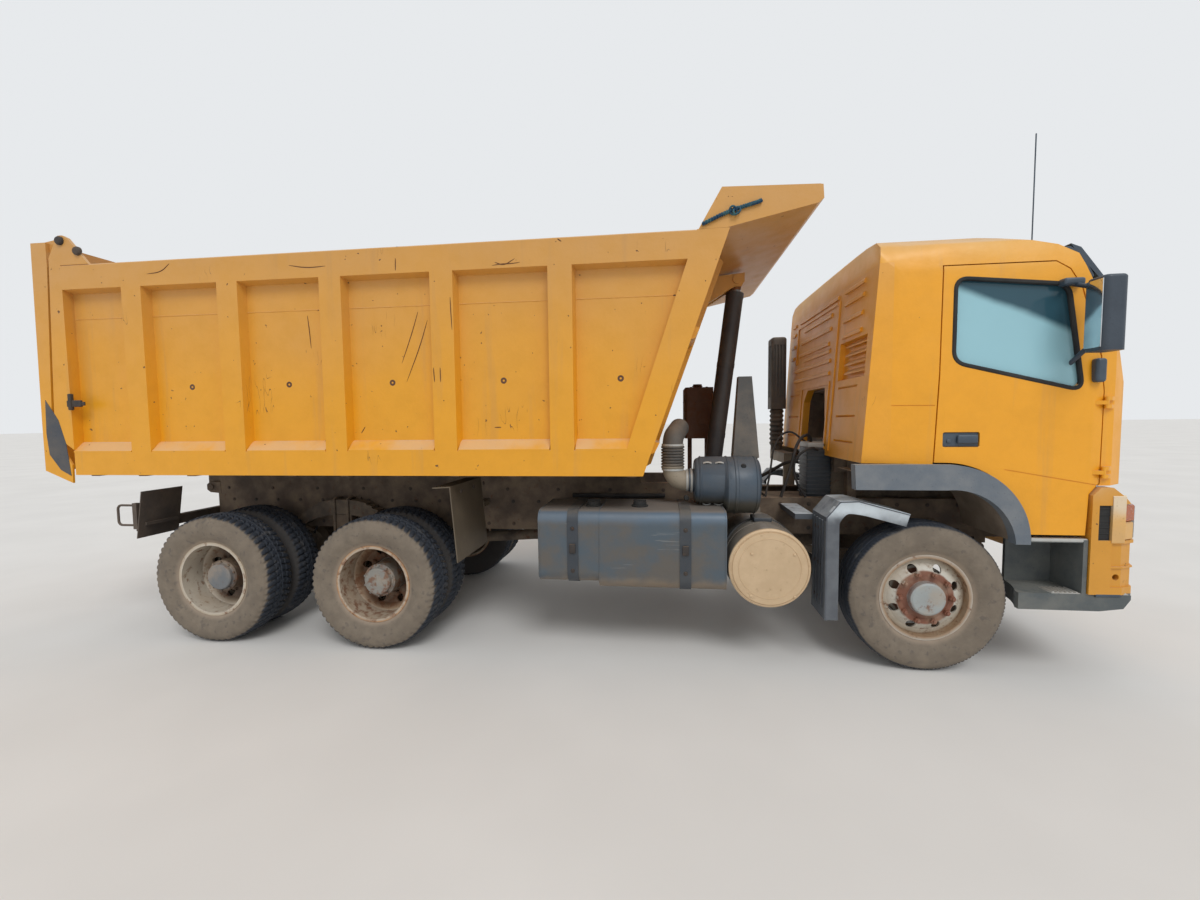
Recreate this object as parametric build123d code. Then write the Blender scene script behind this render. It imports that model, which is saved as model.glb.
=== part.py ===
"""Three-axle dump truck with a hollow cab, a rear-tipping bed and a front-mounted telescopic hoist.

Millimetres. While it is drawn, x is 0 at the rearmost axle and points forward, y points to the left,
and z is 0 on the ground. Each piece is moved to the middle of the truck's length when it is written.
"""
import math
import os

from build123d import *

# Clearances
CLEARANCE = 5
SEAT_GAP = 0.3
PIN_PLAY = 0.3

# Axles and wheels
BOGIE_SPACING = 1370
WHEELBASE = 3990
TYRE_RADIUS = 515
TYRE_WIDTH = 310
AXLE_Z = TYRE_RADIUS
REAR_AXLES_X = (0, BOGIE_SPACING)
FRONT_AXLE_X = BOGIE_SPACING + WHEELBASE
TWIN_OUTER_Y = 1090
TWIN_INNER_Y = 745
TWIN_DISC_Y = (TWIN_OUTER_Y + TWIN_INNER_Y) / 2
FRONT_WHEEL_Y = 1025
TRUCK_REAR = -1414
TRUCK_FRONT = FRONT_AXLE_X + 1352
MIDDLE = (TRUCK_REAR + TRUCK_FRONT) / 2
KINGPIN_Y = 850
RIM_RADIUS = 286
FLANGE_RADIUS = 298.5
RIM_HALF_WIDTH = 118
RIM_WALL = 12
DISC_WALL = 12
BEAD_RADIUS = RIM_RADIUS + SEAT_GAP
DRUM_RADIUS = 205
SPINDLE_RADIUS = 45
HUB_BORE = SPINDLE_RADIUS + PIN_PLAY
HOUSING_RADIUS = 75
REAR_SPINDLE_END = 1090
HAND_HOLES = 8
HAND_HOLE_RADIUS = 30
HAND_HOLE_CIRCLE = 208
STUDS = 10
STUD_CIRCLE = 167.5
STUD_RADIUS = 16
KINGPIN_RADIUS = 25
AXLE_EYE_RADIUS = 48
AXLE_EYE_HALF = 55
SWEEP_RADIUS = 626
SWEEP_TOP = 1045

# Springs
FRONT_SPRING_HALF = 750
FRONT_SPRING_Y = (345, 425)
FRONT_SPRING_LEAVES = 3
FRONT_LEAF = 24
FRONT_PAD_TOP = 565
FRONT_SPRING_EYE_TOP = 735
TRUNNION_X = BOGIE_SPACING / 2
TRUNNION_Z = 800
REAR_SPRING_Y = (445, 545)
REAR_LEAVES = 9
REAR_LEAF = 15
REAR_SPRING_HALF = BOGIE_SPACING / 2 - 85
REAR_SPRING_RISE = 240
REAR_SPRING_RADIUS = (REAR_SPRING_HALF ** 2 + REAR_SPRING_RISE ** 2) / (2 * REAR_SPRING_RISE)
REAR_SPRING_LOW = 920
SADDLE_HALF = 90
SADDLE_TOP = REAR_SPRING_LOW - REAR_SPRING_RADIUS + math.sqrt(
    REAR_SPRING_RADIUS ** 2 - SADDLE_HALF ** 2) - SEAT_GAP

# Ladder frame and subframe
FRAME_HALF = 430
RAIL_WEB = 9
RAIL_FLANGE = 90
RAIL_BOTTOM = 785
RAIL_HEIGHT = 300
RAIL_TOP = RAIL_BOTTOM + RAIL_HEIGHT
FRAME_REAR = -640
FRAME_FRONT = FRONT_AXLE_X + 1140
SUBFRAME_HEIGHT = 120
SUBFRAME_TOP = RAIL_TOP + SUBFRAME_HEIGHT
SUBFRAME_FRONT = 4180
GEARBOX_REAR = FRONT_AXLE_X - 840
GEARBOX_SHAFT_Z = 790

# Bed hinge
BED_HINGE_X = -740
BED_HINGE_Z = 1150
BED_PIN_RADIUS = 28
BED_HUB_RADIUS = 52
BED_ARM_Y = (FRAME_HALF - 68, FRAME_HALF - 28)

# Bed
BED_HALF = 1250
BED_PANEL_Y = BED_HALF - 75
BED_SHEET = 8
BED_INNER_Y = BED_PANEL_Y - BED_SHEET
BED_BOTTOM = 1357
BED_FLOOR_Z = 1400
BED_FLOOR_WALL = 10
SILL_TOP = 1540
RAIL_LOW = 2830
BED_TOP = 3020
BED_FRONT_LOW_X = 3445
BED_FRONT_LEAN = 0.3524
BED_REAR_TOP_X = -1235
BED_REAR_LOW_X = -1300
BED_TAIL_X = -1130
RIB_WIDTH = 200
HEADBOARD_SETBACK = 30
RIB_X = (-615, 210, 1050, 1910, 2775)
POST_WIDTH = 165

# Canopy over the front of the bed
CANOPY_LIP = (4591, 3145)
CANOPY_PEAK = (4620, 3260)
CANOPY_TOP_REAR = (3978, 3285)
CANOPY_WALL = 8

# Tailgate
GATE_PIN_X = -1115
GATE_PIN_Z = 3207
GATE_PIN_RADIUS = 20
GATE_TOP_Z = 3203
GATE_LOW_Z = 1390
GATE_FRONT_TOP_X = -1252
GATE_SLANT = 0.054

# Hoist
HOIST_FOOT = (4000, 950)
HOIST_EYE = (4256, 2991)
HOIST_TUBE_RADIUS = 77.5
HOIST_STAGE_RADII = (68.5, 57.5, 46.5)
HOIST_PIN_RADIUS = 35
HOIST_EAR_Y = (60, 80)

# Cab, drawn with the front axle at x 5360 and moved with it
DRAWN_AXLE_X = 5360
FRONT_SHIFT = FRONT_AXLE_X - DRAWN_AXLE_X
CAB_REAR_LOW = (4935, 1430)
CAB_REAR_TOP = (5035, 2950)
CAB_HALF = 1195
CAB_WALL = 60
CAB_FLOOR_Z = 1300
CAB_FLOOR_WALL = 50
REAR_FLOOR_Z = 1436
REAR_FLOOR_END = 5600
FRONT_FLOOR_START = 5800
CAB_LOW_Z = 970
ROOF_SPLIT_Z = 2775
SCREEN_LOW_Z = 1960
SCREEN_TOP_Z = 2715
SCREEN_HALF = 1020
BACK_SPLIT_X = 5110
TUNNEL_HALF = FRAME_HALF - 50
TUNNEL_TOP = 2010
TUNNEL_WALL = 25
DOOR_GAP = 8
DOOR_HINGE_X = 6369
DOOR_HINGE_Y = 1197
GLASS_WALL = 6
WINDOW_CORNER = 55
HINGE_PIN_RADIUS = 5
HINGE_BARREL_RADIUS = 11
HINGE_HEIGHTS = (1345, 1790)
HINGE_LENGTH = 75
CAB_PROFILE = [CAB_REAR_LOW, CAB_REAR_TOP, (5070, 2985), (5401, 2972), (5785, 2918), (6100, 2845),
               (6215, 2780), (6560, 1960), (6655, 1750), (6668, 1500), (6640, CAB_FLOOR_Z - 5)]
CAB_PLAN = [(4880, 1105), (5120, 1145), (5420, CAB_HALF), (6280, CAB_HALF), (6440, 1160), (6560, 1070),
            (6625, 930), (6668, 500), (6680, 0)]
CAB_SECTION = [(1190, 800), (CAB_HALF + 1, 1300), (CAB_HALF + 1, 1900), (1150, 2700), (1118, 2880),
               (1040, 2935), (600, 2975), (0, 2988)]
ARCH_CENTRE = (5430, 930)
ARCH_RADIUS = 506
WINDOW_OUTLINE = [(5489, 2649), (5472, 2104), (6225, 1910), (6149, 2582)]
DOOR_OUTLINE = [(5410, 2735), (5362, 1440), (5362, 1300), (5800, CAB_LOW_Z), (6286, CAB_LOW_Z), (6296, 1240),
                (6362, 1310), (6365, 1900), (6335, 2120), (6228, 2560), (6160, 2680), (6080, 2735)]
SEAM_OUTLINE = [(4990, 1826), (5362, 1822), (5362, 1827), (4990, 1831)]
SEAM_DEPTH = 5
CREASE_OUTLINE = [(5790, 1398), (6390, 1288), (6390, 1294), (5790, 1404)]
GRILLE_HEIGHTS = (1400, 1490, 1580, 1670)
GRILLE_SLOT = 58
GRILLE_HALF = 640
GRILLE_DEPTH = 34
HANDLE_OUTLINE = [(5411, 1549), (5635, 1549), (5635, 1647), (5411, 1647)]

# Side equipment
TANK_X = (2673, 4027)
TANK_Y = (-1200, -580)
TANK_Z = (530, 1100)
TANK_CORNER = 80
MUFFLER_X = 4314
MUFFLER_Z = 712
MUFFLER_RADIUS = 278
AIR_CLEANER_X = (3820, 4300)
AIR_CLEANER_Y = -850
AIR_CLEANER_Z = 1282
AIR_CLEANER_RADIUS = 172
STRAP_X = (2890, 3700)
STRAP_WIDTH = 80

SIDES = (("right", -1), ("left", 1))


def block(x_range, y_range, z_range):
    """Rectangular block between three pairs of limits."""
    size = [high - low for low, high in (x_range, y_range, z_range)]
    middle = [(high + low) / 2 for low, high in (x_range, y_range, z_range)]
    return Pos(*middle) * Box(*size)


def side_shape(points, y_low, y_high):
    """Plate whose outline is given in x and z, between two y positions."""
    outline = make_face(Polyline(*[(x, y_low, z) for x, z in points], close=True))
    return extrude(outline, amount=y_high - y_low, dir=(0, 1, 0))


def cross_shape(points, x_low, x_high):
    """Bar whose section is given in y and z, between two x positions."""
    outline = make_face(Polyline(*[(x_low, y, z) for y, z in points], close=True))
    return extrude(outline, amount=x_high - x_low, dir=(1, 0, 0))


def plan_shape(points, z_low, z_high):
    """Plate whose outline is given in x and y, between two heights."""
    outline = make_face(Polyline(*[(x, y, z_low) for x, y in points], close=True))
    return extrude(outline, amount=z_high - z_low, dir=(0, 0, 1))


def rod(start, end, radius):
    """Round bar from one point to another."""
    path = Vector(end) - Vector(start)
    place = Plane(origin=start, z_dir=path)
    return place * Cylinder(radius, path.length, align=(Align.CENTER, Align.CENTER, Align.MIN))


def cross_rod(x, z, radius, y_low, y_high):
    """Round bar along y."""
    return rod((x, y_low, z), (x, y_high, z), radius)


def ring_about_y(points):
    """Body turned about the y axis from a section of radius and y."""
    section = make_face(Polyline(*points, close=True))
    return revolve(section, axis=Axis.Y)


def both_sides(shape):
    """A shape and its mirror image across the truck."""
    return [shape, mirror(shape, about=Plane.XZ)]


def fused(shapes):
    """One solid from shapes that meet."""
    return shapes[0].fuse(*shapes[1:]) if len(shapes) > 1 else shapes[0]


def write(name, shapes):
    """Write one node, moved to the middle of the truck's length."""
    solids = [solid for shape in shapes for solid in shape.solids()]
    export_step(Pos(-MIDDLE, 0, 0) * Compound(solids), f"parts/{name}.step")


# Ladder frame

def ladder_frame():
    """Two channel rails, riveted cross members, spring hangers and the bogie's trunnion brackets."""
    inner = FRAME_HALF - RAIL_WEB
    lip = FRAME_HALF - RAIL_FLANGE
    channel = [(FRAME_HALF, RAIL_BOTTOM), (FRAME_HALF, RAIL_TOP), (lip, RAIL_TOP),
               (lip, RAIL_TOP - RAIL_WEB), (inner, RAIL_TOP - RAIL_WEB),
               (inner, RAIL_BOTTOM + RAIL_WEB), (lip, RAIL_BOTTOM + RAIL_WEB), (lip, RAIL_BOTTOM)]
    shapes = both_sides(cross_shape(channel, FRAME_REAR, FRAME_FRONT))
    for x in (FRAME_REAR + 40, TRUNNION_X, 1800, 2600, 3500, GEARBOX_REAR - 80, FRAME_FRONT - 100):
        shapes.append(block((x - 40, x + 40), (-inner, inner), (RAIL_BOTTOM + 70, RAIL_TOP - 30)))
    for x in (FRONT_AXLE_X - FRONT_SPRING_HALF, FRONT_AXLE_X + FRONT_SPRING_HALF):
        hanger = block((x - 40, x + 40), (lip, FRAME_HALF), (FRONT_SPRING_EYE_TOP, RAIL_BOTTOM))
        shapes += both_sides(hanger)
    bracket = block((TRUNNION_X - 125, TRUNNION_X + 125), (FRAME_HALF, FRAME_HALF + 12),
                    (TRUNNION_Z - 80, RAIL_TOP - 20))
    shaft = cross_rod(TRUNNION_X, TRUNNION_Z, 50, FRAME_HALF, REAR_SPRING_Y[1])
    saddle = block((TRUNNION_X - SADDLE_HALF, TRUNNION_X + SADDLE_HALF), REAR_SPRING_Y,
                   (TRUNNION_Z - 60, SADDLE_TOP))
    for shape in (bracket, shaft, saddle):
        shapes += both_sides(shape)
    return fused(shapes)


def arc_leaf(centre_x, low_z, radius, half, thickness, y_range, bowed_up):
    """One spring leaf: a slab bent to an arc, its middle at centre_x and its lower face there at low_z."""
    turn = 1 if bowed_up else -1
    centre_z = low_z - radius if bowed_up else low_z + thickness + radius
    inner = radius
    outer = radius + thickness
    reach = math.asin(half / radius)

    def on_arc(r, angle):
        return (centre_x + r * math.sin(angle), y_range[0], centre_z + turn * r * math.cos(angle))

    edges = [ThreePointArc(on_arc(inner, -reach), on_arc(inner, 0), on_arc(inner, reach)),
             Line(on_arc(inner, reach), on_arc(outer, reach)),
             ThreePointArc(on_arc(outer, reach), on_arc(outer, 0), on_arc(outer, -reach)),
             Line(on_arc(outer, -reach), on_arc(inner, -reach))]
    return extrude(make_face(edges), amount=y_range[1] - y_range[0], dir=(0, 1, 0))


def front_axle():
    """Forged beam with spring pads and a kingpin standing in each end."""
    drop = [(-KINGPIN_Y, AXLE_Z - 40), (-KINGPIN_Y, AXLE_Z + 45), (-520, AXLE_Z + 30),
            (520, AXLE_Z + 30), (KINGPIN_Y, AXLE_Z + 45), (KINGPIN_Y, AXLE_Z - 40),
            (520, AXLE_Z - 70), (-520, AXLE_Z - 70)]
    shapes = [cross_shape(drop, FRONT_AXLE_X - 42, FRONT_AXLE_X + 42)]
    pad = block((FRONT_AXLE_X - 90, FRONT_AXLE_X + 90), FRONT_SPRING_Y, (AXLE_Z - 20, FRONT_PAD_TOP))
    shapes += both_sides(pad)
    for _, side in SIDES:
        y = side * KINGPIN_Y
        shapes.append(rod((FRONT_AXLE_X, y, AXLE_Z - AXLE_EYE_HALF),
                          (FRONT_AXLE_X, y, AXLE_Z + AXLE_EYE_HALF), AXLE_EYE_RADIUS))
        shapes.append(rod((FRONT_AXLE_X, y, AXLE_Z - 98), (FRONT_AXLE_X, y, AXLE_Z + 98),
                          KINGPIN_RADIUS))
    return fused(shapes)


def leaf_springs():
    """Two front springs bowed down and two bogie springs bowed up, each a stack of leaves."""
    springs = []
    for _, side in SIDES:
        y_range = sorted((side * FRONT_SPRING_Y[0], side * FRONT_SPRING_Y[1]))
        rise = FRONT_SPRING_EYE_TOP - FRONT_PAD_TOP - FRONT_SPRING_LEAVES * FRONT_LEAF - 30
        radius = (FRONT_SPRING_HALF ** 2 + rise ** 2) / (2 * rise)
        stack = []
        for leaf in range(FRONT_SPRING_LEAVES):
            low = FRONT_PAD_TOP + SEAT_GAP + leaf * FRONT_LEAF
            half = FRONT_SPRING_HALF - 150 * (FRONT_SPRING_LEAVES - 1 - leaf)
            stack.append(arc_leaf(FRONT_AXLE_X, low, radius - (leaf + 1) * FRONT_LEAF, half,
                                  FRONT_LEAF, y_range, False))
        for end in (-1, 1):
            stack.append(cross_rod(FRONT_AXLE_X + end * FRONT_SPRING_HALF, FRONT_SPRING_EYE_TOP - 38,
                                   38 - SEAT_GAP, *y_range))
        springs.append(fused(stack))
        y_range = sorted((side * REAR_SPRING_Y[0], side * REAR_SPRING_Y[1]))
        stack = []
        for leaf in range(REAR_LEAVES):
            half = REAR_SPRING_HALF - 52 * max(0, leaf - 1)
            stack.append(arc_leaf(TRUNNION_X, REAR_SPRING_LOW + leaf * REAR_LEAF,
                                  REAR_SPRING_RADIUS + leaf * REAR_LEAF, half, REAR_LEAF, y_range, True))
        springs.append(fused(stack))
    return springs


def rear_axles():
    """Two driven axles with round differential housings, wheel spindles and the shafts between them."""
    pad_top = REAR_SPRING_LOW - REAR_SPRING_RADIUS + math.sqrt(
        REAR_SPRING_RADIUS ** 2 - REAR_SPRING_HALF ** 2) - SEAT_GAP
    shapes = []
    for x in REAR_AXLES_X:
        shapes.append(cross_rod(x, AXLE_Z, HOUSING_RADIUS, -600, 600))
        shapes.append(cross_rod(x, AXLE_Z, SPINDLE_RADIUS, -REAR_SPINDLE_END, REAR_SPINDLE_END))
        bowl = cross_rod(x, AXLE_Z, 225, -110, 110)
        shapes.append(chamfer(bowl.edges().filter_by(GeomType.CIRCLE), 45))
        towards = 1 if x < TRUNNION_X else -1
        end_x = TRUNNION_X - towards * REAR_SPRING_HALF
        pad = block(sorted((end_x - towards * 60, end_x + towards * 55)), REAR_SPRING_Y,
                    (AXLE_Z + 30, pad_top))
        shapes += both_sides(pad)
    shapes.append(rod((100, 0, AXLE_Z + 70), (BOGIE_SPACING - 100, 0, AXLE_Z + 70), 45))
    shapes.append(rod((BOGIE_SPACING + 100, 0, AXLE_Z + 70), (GEARBOX_REAR + 20, 0, GEARBOX_SHAFT_Z), 50))
    return fused(shapes) - block((GEARBOX_REAR, GEARBOX_REAR + 60), (-100, 100), (600, 1000))


def engine_block():
    """Engine and gearbox as plain blocks, carried by feet on the frame rails."""
    foot_reach = FRAME_HALF - RAIL_WEB
    half = TUNNEL_HALF - 75
    rear = GEARBOX_REAR + 480
    engine = block((rear, rear + 1200), (-half, half), (640, 1560))
    gearbox = block((GEARBOX_REAR, rear), (90 - half, half - 90), (640, 1050))
    bosses = [block((x, x + 110), (-foot_reach, foot_reach), (830, 900)) for x in (rear + 200, rear + 1000)]
    return fused([engine, gearbox] + bosses)


# Wheels and knuckles

def tyre(y):
    """Radial tyre standing at a given y, open at the bead."""
    half = TYRE_WIDTH / 2
    points = [(BEAD_RADIUS, -half + 48), (FLANGE_RADIUS + 1, -half + 48), (330, -half + 16),
              (400, -half), (455, -half + 6), (493, -half + 24), (TYRE_RADIUS - 4, -half + 44),
              (TYRE_RADIUS, -half + 70), (TYRE_RADIUS, half - 70), (TYRE_RADIUS - 4, half - 44),
              (493, half - 24), (455, half - 6), (400, half), (330, half - 16),
              (FLANGE_RADIUS + 1, half - 48), (BEAD_RADIUS, half - 48)]
    return Pos(0, y, 0) * ring_about_y(points)


def rim_barrel(y):
    """Rolled barrel with a flange at each edge."""
    half = RIM_HALF_WIDTH
    points = [(RIM_RADIUS - RIM_WALL, -half), (FLANGE_RADIUS, -half), (FLANGE_RADIUS, -half + 7),
              (RIM_RADIUS, -half + 9), (RIM_RADIUS, half - 9), (FLANGE_RADIUS, half - 7),
              (FLANGE_RADIUS, half), (RIM_RADIUS - RIM_WALL, half)]
    return Pos(0, y, 0) * ring_about_y(points)


def wheel_disc(barrel_y, bowl_y, face_y):
    """Dished disc from the barrel to the hub, with a ring of hand holes."""
    outward = 1 if face_y > bowl_y else -1
    points = [(150, face_y), (185, face_y), (235, bowl_y), (RIM_RADIUS - RIM_WALL + 2, barrel_y),
              (RIM_RADIUS - RIM_WALL + 2, barrel_y - outward * DISC_WALL),
              (228, bowl_y - outward * DISC_WALL), (180, face_y - outward * DISC_WALL),
              (150, face_y - outward * DISC_WALL)]
    disc = ring_about_y(points)
    reach = abs(face_y) + 150
    for index in range(HAND_HOLES):
        angle = 2 * math.pi * (index + 0.5) / HAND_HOLES
        disc -= cross_rod(HAND_HOLE_CIRCLE * math.cos(angle), HAND_HOLE_CIRCLE * math.sin(angle),
                          HAND_HOLE_RADIUS, -reach, reach)
    return disc


def wheel_nuts(seat_y, end_y):
    """Ring of wheel nuts standing out of a disc."""
    nuts = []
    for index in range(STUDS):
        angle = 2 * math.pi * index / STUDS
        nuts.append(cross_rod(STUD_CIRCLE * math.cos(angle), STUD_CIRCLE * math.sin(angle),
                              STUD_RADIUS, *sorted((seat_y, end_y))))
    return nuts


def front_rim():
    """Right front rim, disc, hub and brake drum, drawn about the axle with its outside at +y."""
    disc_y = FRONT_WHEEL_Y + 112
    disc = wheel_disc(FRONT_WHEEL_Y + 60, disc_y - 35, disc_y)
    hub = ring_about_y([(HUB_BORE, 955), (140, 955), (140, disc_y - DISC_WALL), (185, disc_y - DISC_WALL),
                        (185, disc_y - 6), (115, disc_y + 2), (112, disc_y + 40), (100, disc_y + 48),
                        (0, disc_y + 48), (0, disc_y + 30), (HUB_BORE, disc_y + 30)])
    drum = ring_about_y([(DRUM_RADIUS - 18, 925), (DRUM_RADIUS, 925), (DRUM_RADIUS, 1050),
                         (135, 1050), (135, 1036), (DRUM_RADIUS - 18, 1036)])
    return fused([rim_barrel(FRONT_WHEEL_Y), disc, hub, drum] + wheel_nuts(disc_y - 8, disc_y + 22))


def rear_rims():
    """Two rims bolted back to back on one hub, drawn about the axle with their outside at +y."""
    outer_disc = wheel_disc(TWIN_OUTER_Y - 78, TWIN_DISC_Y + 38, TWIN_DISC_Y + DISC_WALL)
    inner_disc = wheel_disc(TWIN_INNER_Y + 78, TWIN_DISC_Y - 38, TWIN_DISC_Y - DISC_WALL)
    hub_end = TWIN_OUTER_Y + 62
    hub = ring_about_y([(HUB_BORE, 640), (130, 640), (130, TWIN_DISC_Y - DISC_WALL),
                        (186, TWIN_DISC_Y - DISC_WALL), (186, TWIN_DISC_Y + DISC_WALL),
                        (132, TWIN_DISC_Y + DISC_WALL), (128, hub_end - 40), (108, hub_end - 28),
                        (104, hub_end - 6), (96, hub_end), (0, hub_end), (0, hub_end - 30),
                        (HUB_BORE, hub_end - 30)])
    drum = ring_about_y([(DRUM_RADIUS - 18, 612), (DRUM_RADIUS, 612), (DRUM_RADIUS, 780),
                         (125, 780), (125, 766), (DRUM_RADIUS - 18, 766)])
    nuts = wheel_nuts(TWIN_DISC_Y + 8, TWIN_DISC_Y + 44)
    return fused([rim_barrel(TWIN_OUTER_Y), rim_barrel(TWIN_INNER_Y), outer_disc, inner_disc, hub,
                  drum] + nuts)


def knuckle():
    """Steering knuckle about the axle, outside at +y: a fork on the kingpin, a back plate and a spindle."""
    fork_y = KINGPIN_Y + 62
    shapes = []
    for low in (AXLE_EYE_HALF + 3, -AXLE_EYE_HALF - 3 - 36):
        ear = rod((0, KINGPIN_Y, low), (0, KINGPIN_Y, low + 36), 46)
        ear += block((-46, 46), (KINGPIN_Y, fork_y), (low, low + 36))
        shapes.append(ear)
    web = block((-46, 46), (KINGPIN_Y + 55, fork_y), (-94, 94))
    plate = cross_rod(0, 0, DRUM_RADIUS - 30, fork_y - 4, fork_y + 2)
    spindle = cross_rod(0, 0, SPINDLE_RADIUS, fork_y, FRONT_WHEEL_Y + 120)
    body = fused(shapes + [web, plate, spindle])
    return body - rod((0, KINGPIN_Y, -150), (0, KINGPIN_Y, 150), KINGPIN_RADIUS + PIN_PLAY)


# Subframe

def subframe():
    """Two beams on the frame rails that carry the bed, its hinge ears and the hoist's cradle."""
    beam_y = (FRAME_HALF - 80, FRAME_HALF)
    shapes = both_sides(block((FRAME_REAR, SUBFRAME_FRONT), beam_y, (RAIL_TOP, SUBFRAME_TOP)))
    cradle_rear = HOIST_FOOT[0] - 320
    for x in (FRAME_REAR + 60, 685, 1500, 2400, cradle_rear, SUBFRAME_FRONT - 50):
        shapes.append(block((x, x + 50), (-FRAME_HALF + 80, FRAME_HALF - 80), (RAIL_TOP, SUBFRAME_TOP - 10)))
    ear_outline = [(FRAME_REAR, RAIL_TOP + 5), (FRAME_REAR, SUBFRAME_TOP - CLEARANCE),
                   (BED_HINGE_X - 10, BED_HINGE_Z + 50), (BED_HINGE_X - 45, BED_HINGE_Z + 25),
                   (BED_HINGE_X - 45, BED_HINGE_Z - 25), (BED_HINGE_X - 10, BED_HINGE_Z - 50)]
    for y_low in (BED_ARM_Y[0] - CLEARANCE - 25, BED_ARM_Y[1] + CLEARANCE):
        shapes += both_sides(side_shape(ear_outline, y_low, y_low + 25))
    foot = block((FRAME_REAR - 25, FRAME_REAR), (BED_ARM_Y[0] - CLEARANCE - 25, FRAME_HALF),
                 (RAIL_BOTTOM + 40, RAIL_TOP + 20))
    shapes += both_sides(foot)
    pin = cross_rod(BED_HINGE_X, BED_HINGE_Z, BED_PIN_RADIUS, BED_ARM_Y[0] - 40, BED_ARM_Y[1] + 40)
    shapes += both_sides(pin)
    cradle_outline = [(cradle_rear, SUBFRAME_TOP - 10), (cradle_rear, RAIL_TOP),
                      (HOIST_FOOT[0] - 90, HOIST_FOOT[1] - 70), (HOIST_FOOT[0] + 90, HOIST_FOOT[1] - 70),
                      (SUBFRAME_FRONT, RAIL_TOP), (SUBFRAME_FRONT, SUBFRAME_TOP - 10)]
    cheek_y = HOIST_TUBE_RADIUS + 15
    shapes += both_sides(side_shape(cradle_outline, cheek_y, cheek_y + 22))
    shapes.append(cross_rod(*HOIST_FOOT, HOIST_PIN_RADIUS, -cheek_y - 35, cheek_y + 35))
    return fused(shapes)


# Bed


def front_x(z):
    """Front line of the leaning bed wall at a height."""
    return BED_FRONT_LOW_X + (z - BED_BOTTOM) * BED_FRONT_LEAN


def gate_x(z):
    """Front line of the tailgate at a height."""
    return GATE_FRONT_TOP_X - (BED_TOP - z) * GATE_SLANT


def bed_floor():
    """Floor plate between the side walls."""
    rear = gate_x(BED_FLOOR_Z) + 15
    return block((rear, front_x(BED_FLOOR_Z) - HEADBOARD_SETBACK - SEAT_GAP), (-BED_INNER_Y, BED_INNER_Y),
                 (BED_FLOOR_Z, BED_FLOOR_Z + BED_FLOOR_WALL))


def bed_side():
    """Left wall: sheet with a deep lower sill, five pressed ribs, top rail, rear post and leaning post."""
    outline = [(BED_TAIL_X, BED_BOTTOM), (front_x(BED_BOTTOM), BED_BOTTOM), (front_x(BED_TOP), BED_TOP),
               (BED_REAR_TOP_X, BED_TOP), (BED_REAR_LOW_X, SILL_TOP + 140), (BED_TAIL_X, SILL_TOP + 20)]
    wall = side_shape(outline, BED_INNER_Y, BED_PANEL_Y)
    sill_section = [(BED_PANEL_Y - 1, BED_BOTTOM), (BED_HALF, BED_BOTTOM), (BED_HALF, SILL_TOP),
                    (BED_PANEL_Y - 1, SILL_TOP + 25)]
    rail_section = [(BED_PANEL_Y - 1, RAIL_LOW - 20), (BED_HALF, RAIL_LOW), (BED_HALF, BED_TOP - 8),
                    (BED_HALF - 8, BED_TOP), (BED_PANEL_Y - 1, BED_TOP)]
    envelope = side_shape(outline, BED_INNER_Y, BED_HALF)
    sill = cross_shape(sill_section, BED_TAIL_X - 300, front_x(BED_TOP)) & envelope
    top_rail = cross_shape(rail_section, BED_TAIL_X - 300, front_x(BED_TOP)) & envelope
    ribs = [cross_rib(x) for x in RIB_X]
    post = side_shape([(front_x(BED_BOTTOM) - POST_WIDTH - 10, BED_BOTTOM), (front_x(BED_BOTTOM), BED_BOTTOM),
                       (front_x(BED_TOP), BED_TOP), (front_x(BED_TOP) - POST_WIDTH - 50, BED_TOP)],
                      BED_PANEL_Y - 1, BED_HALF)
    rear_post = side_shape([(BED_REAR_TOP_X, BED_TOP), (BED_REAR_LOW_X, SILL_TOP + 140),
                            (BED_TAIL_X, SILL_TOP + 20), (BED_TAIL_X, BED_TOP)],
                           BED_PANEL_Y - 1, BED_HALF)
    return fused([wall, sill, top_rail, post, rear_post, tailgate_hinge_ear()] + ribs)


def cross_rib(x):
    """Pressed rib on the left wall, narrower at its outer face."""
    bevel = 14
    outline = make_face(Polyline((x, BED_PANEL_Y - 1, SILL_TOP), (x + RIB_WIDTH, BED_PANEL_Y - 1, SILL_TOP),
                                 (x + RIB_WIDTH - bevel, BED_HALF, SILL_TOP), (x + bevel, BED_HALF, SILL_TOP),
                                 close=True))
    return extrude(outline, amount=RAIL_LOW - SILL_TOP, dir=(0, 0, 1))


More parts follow.
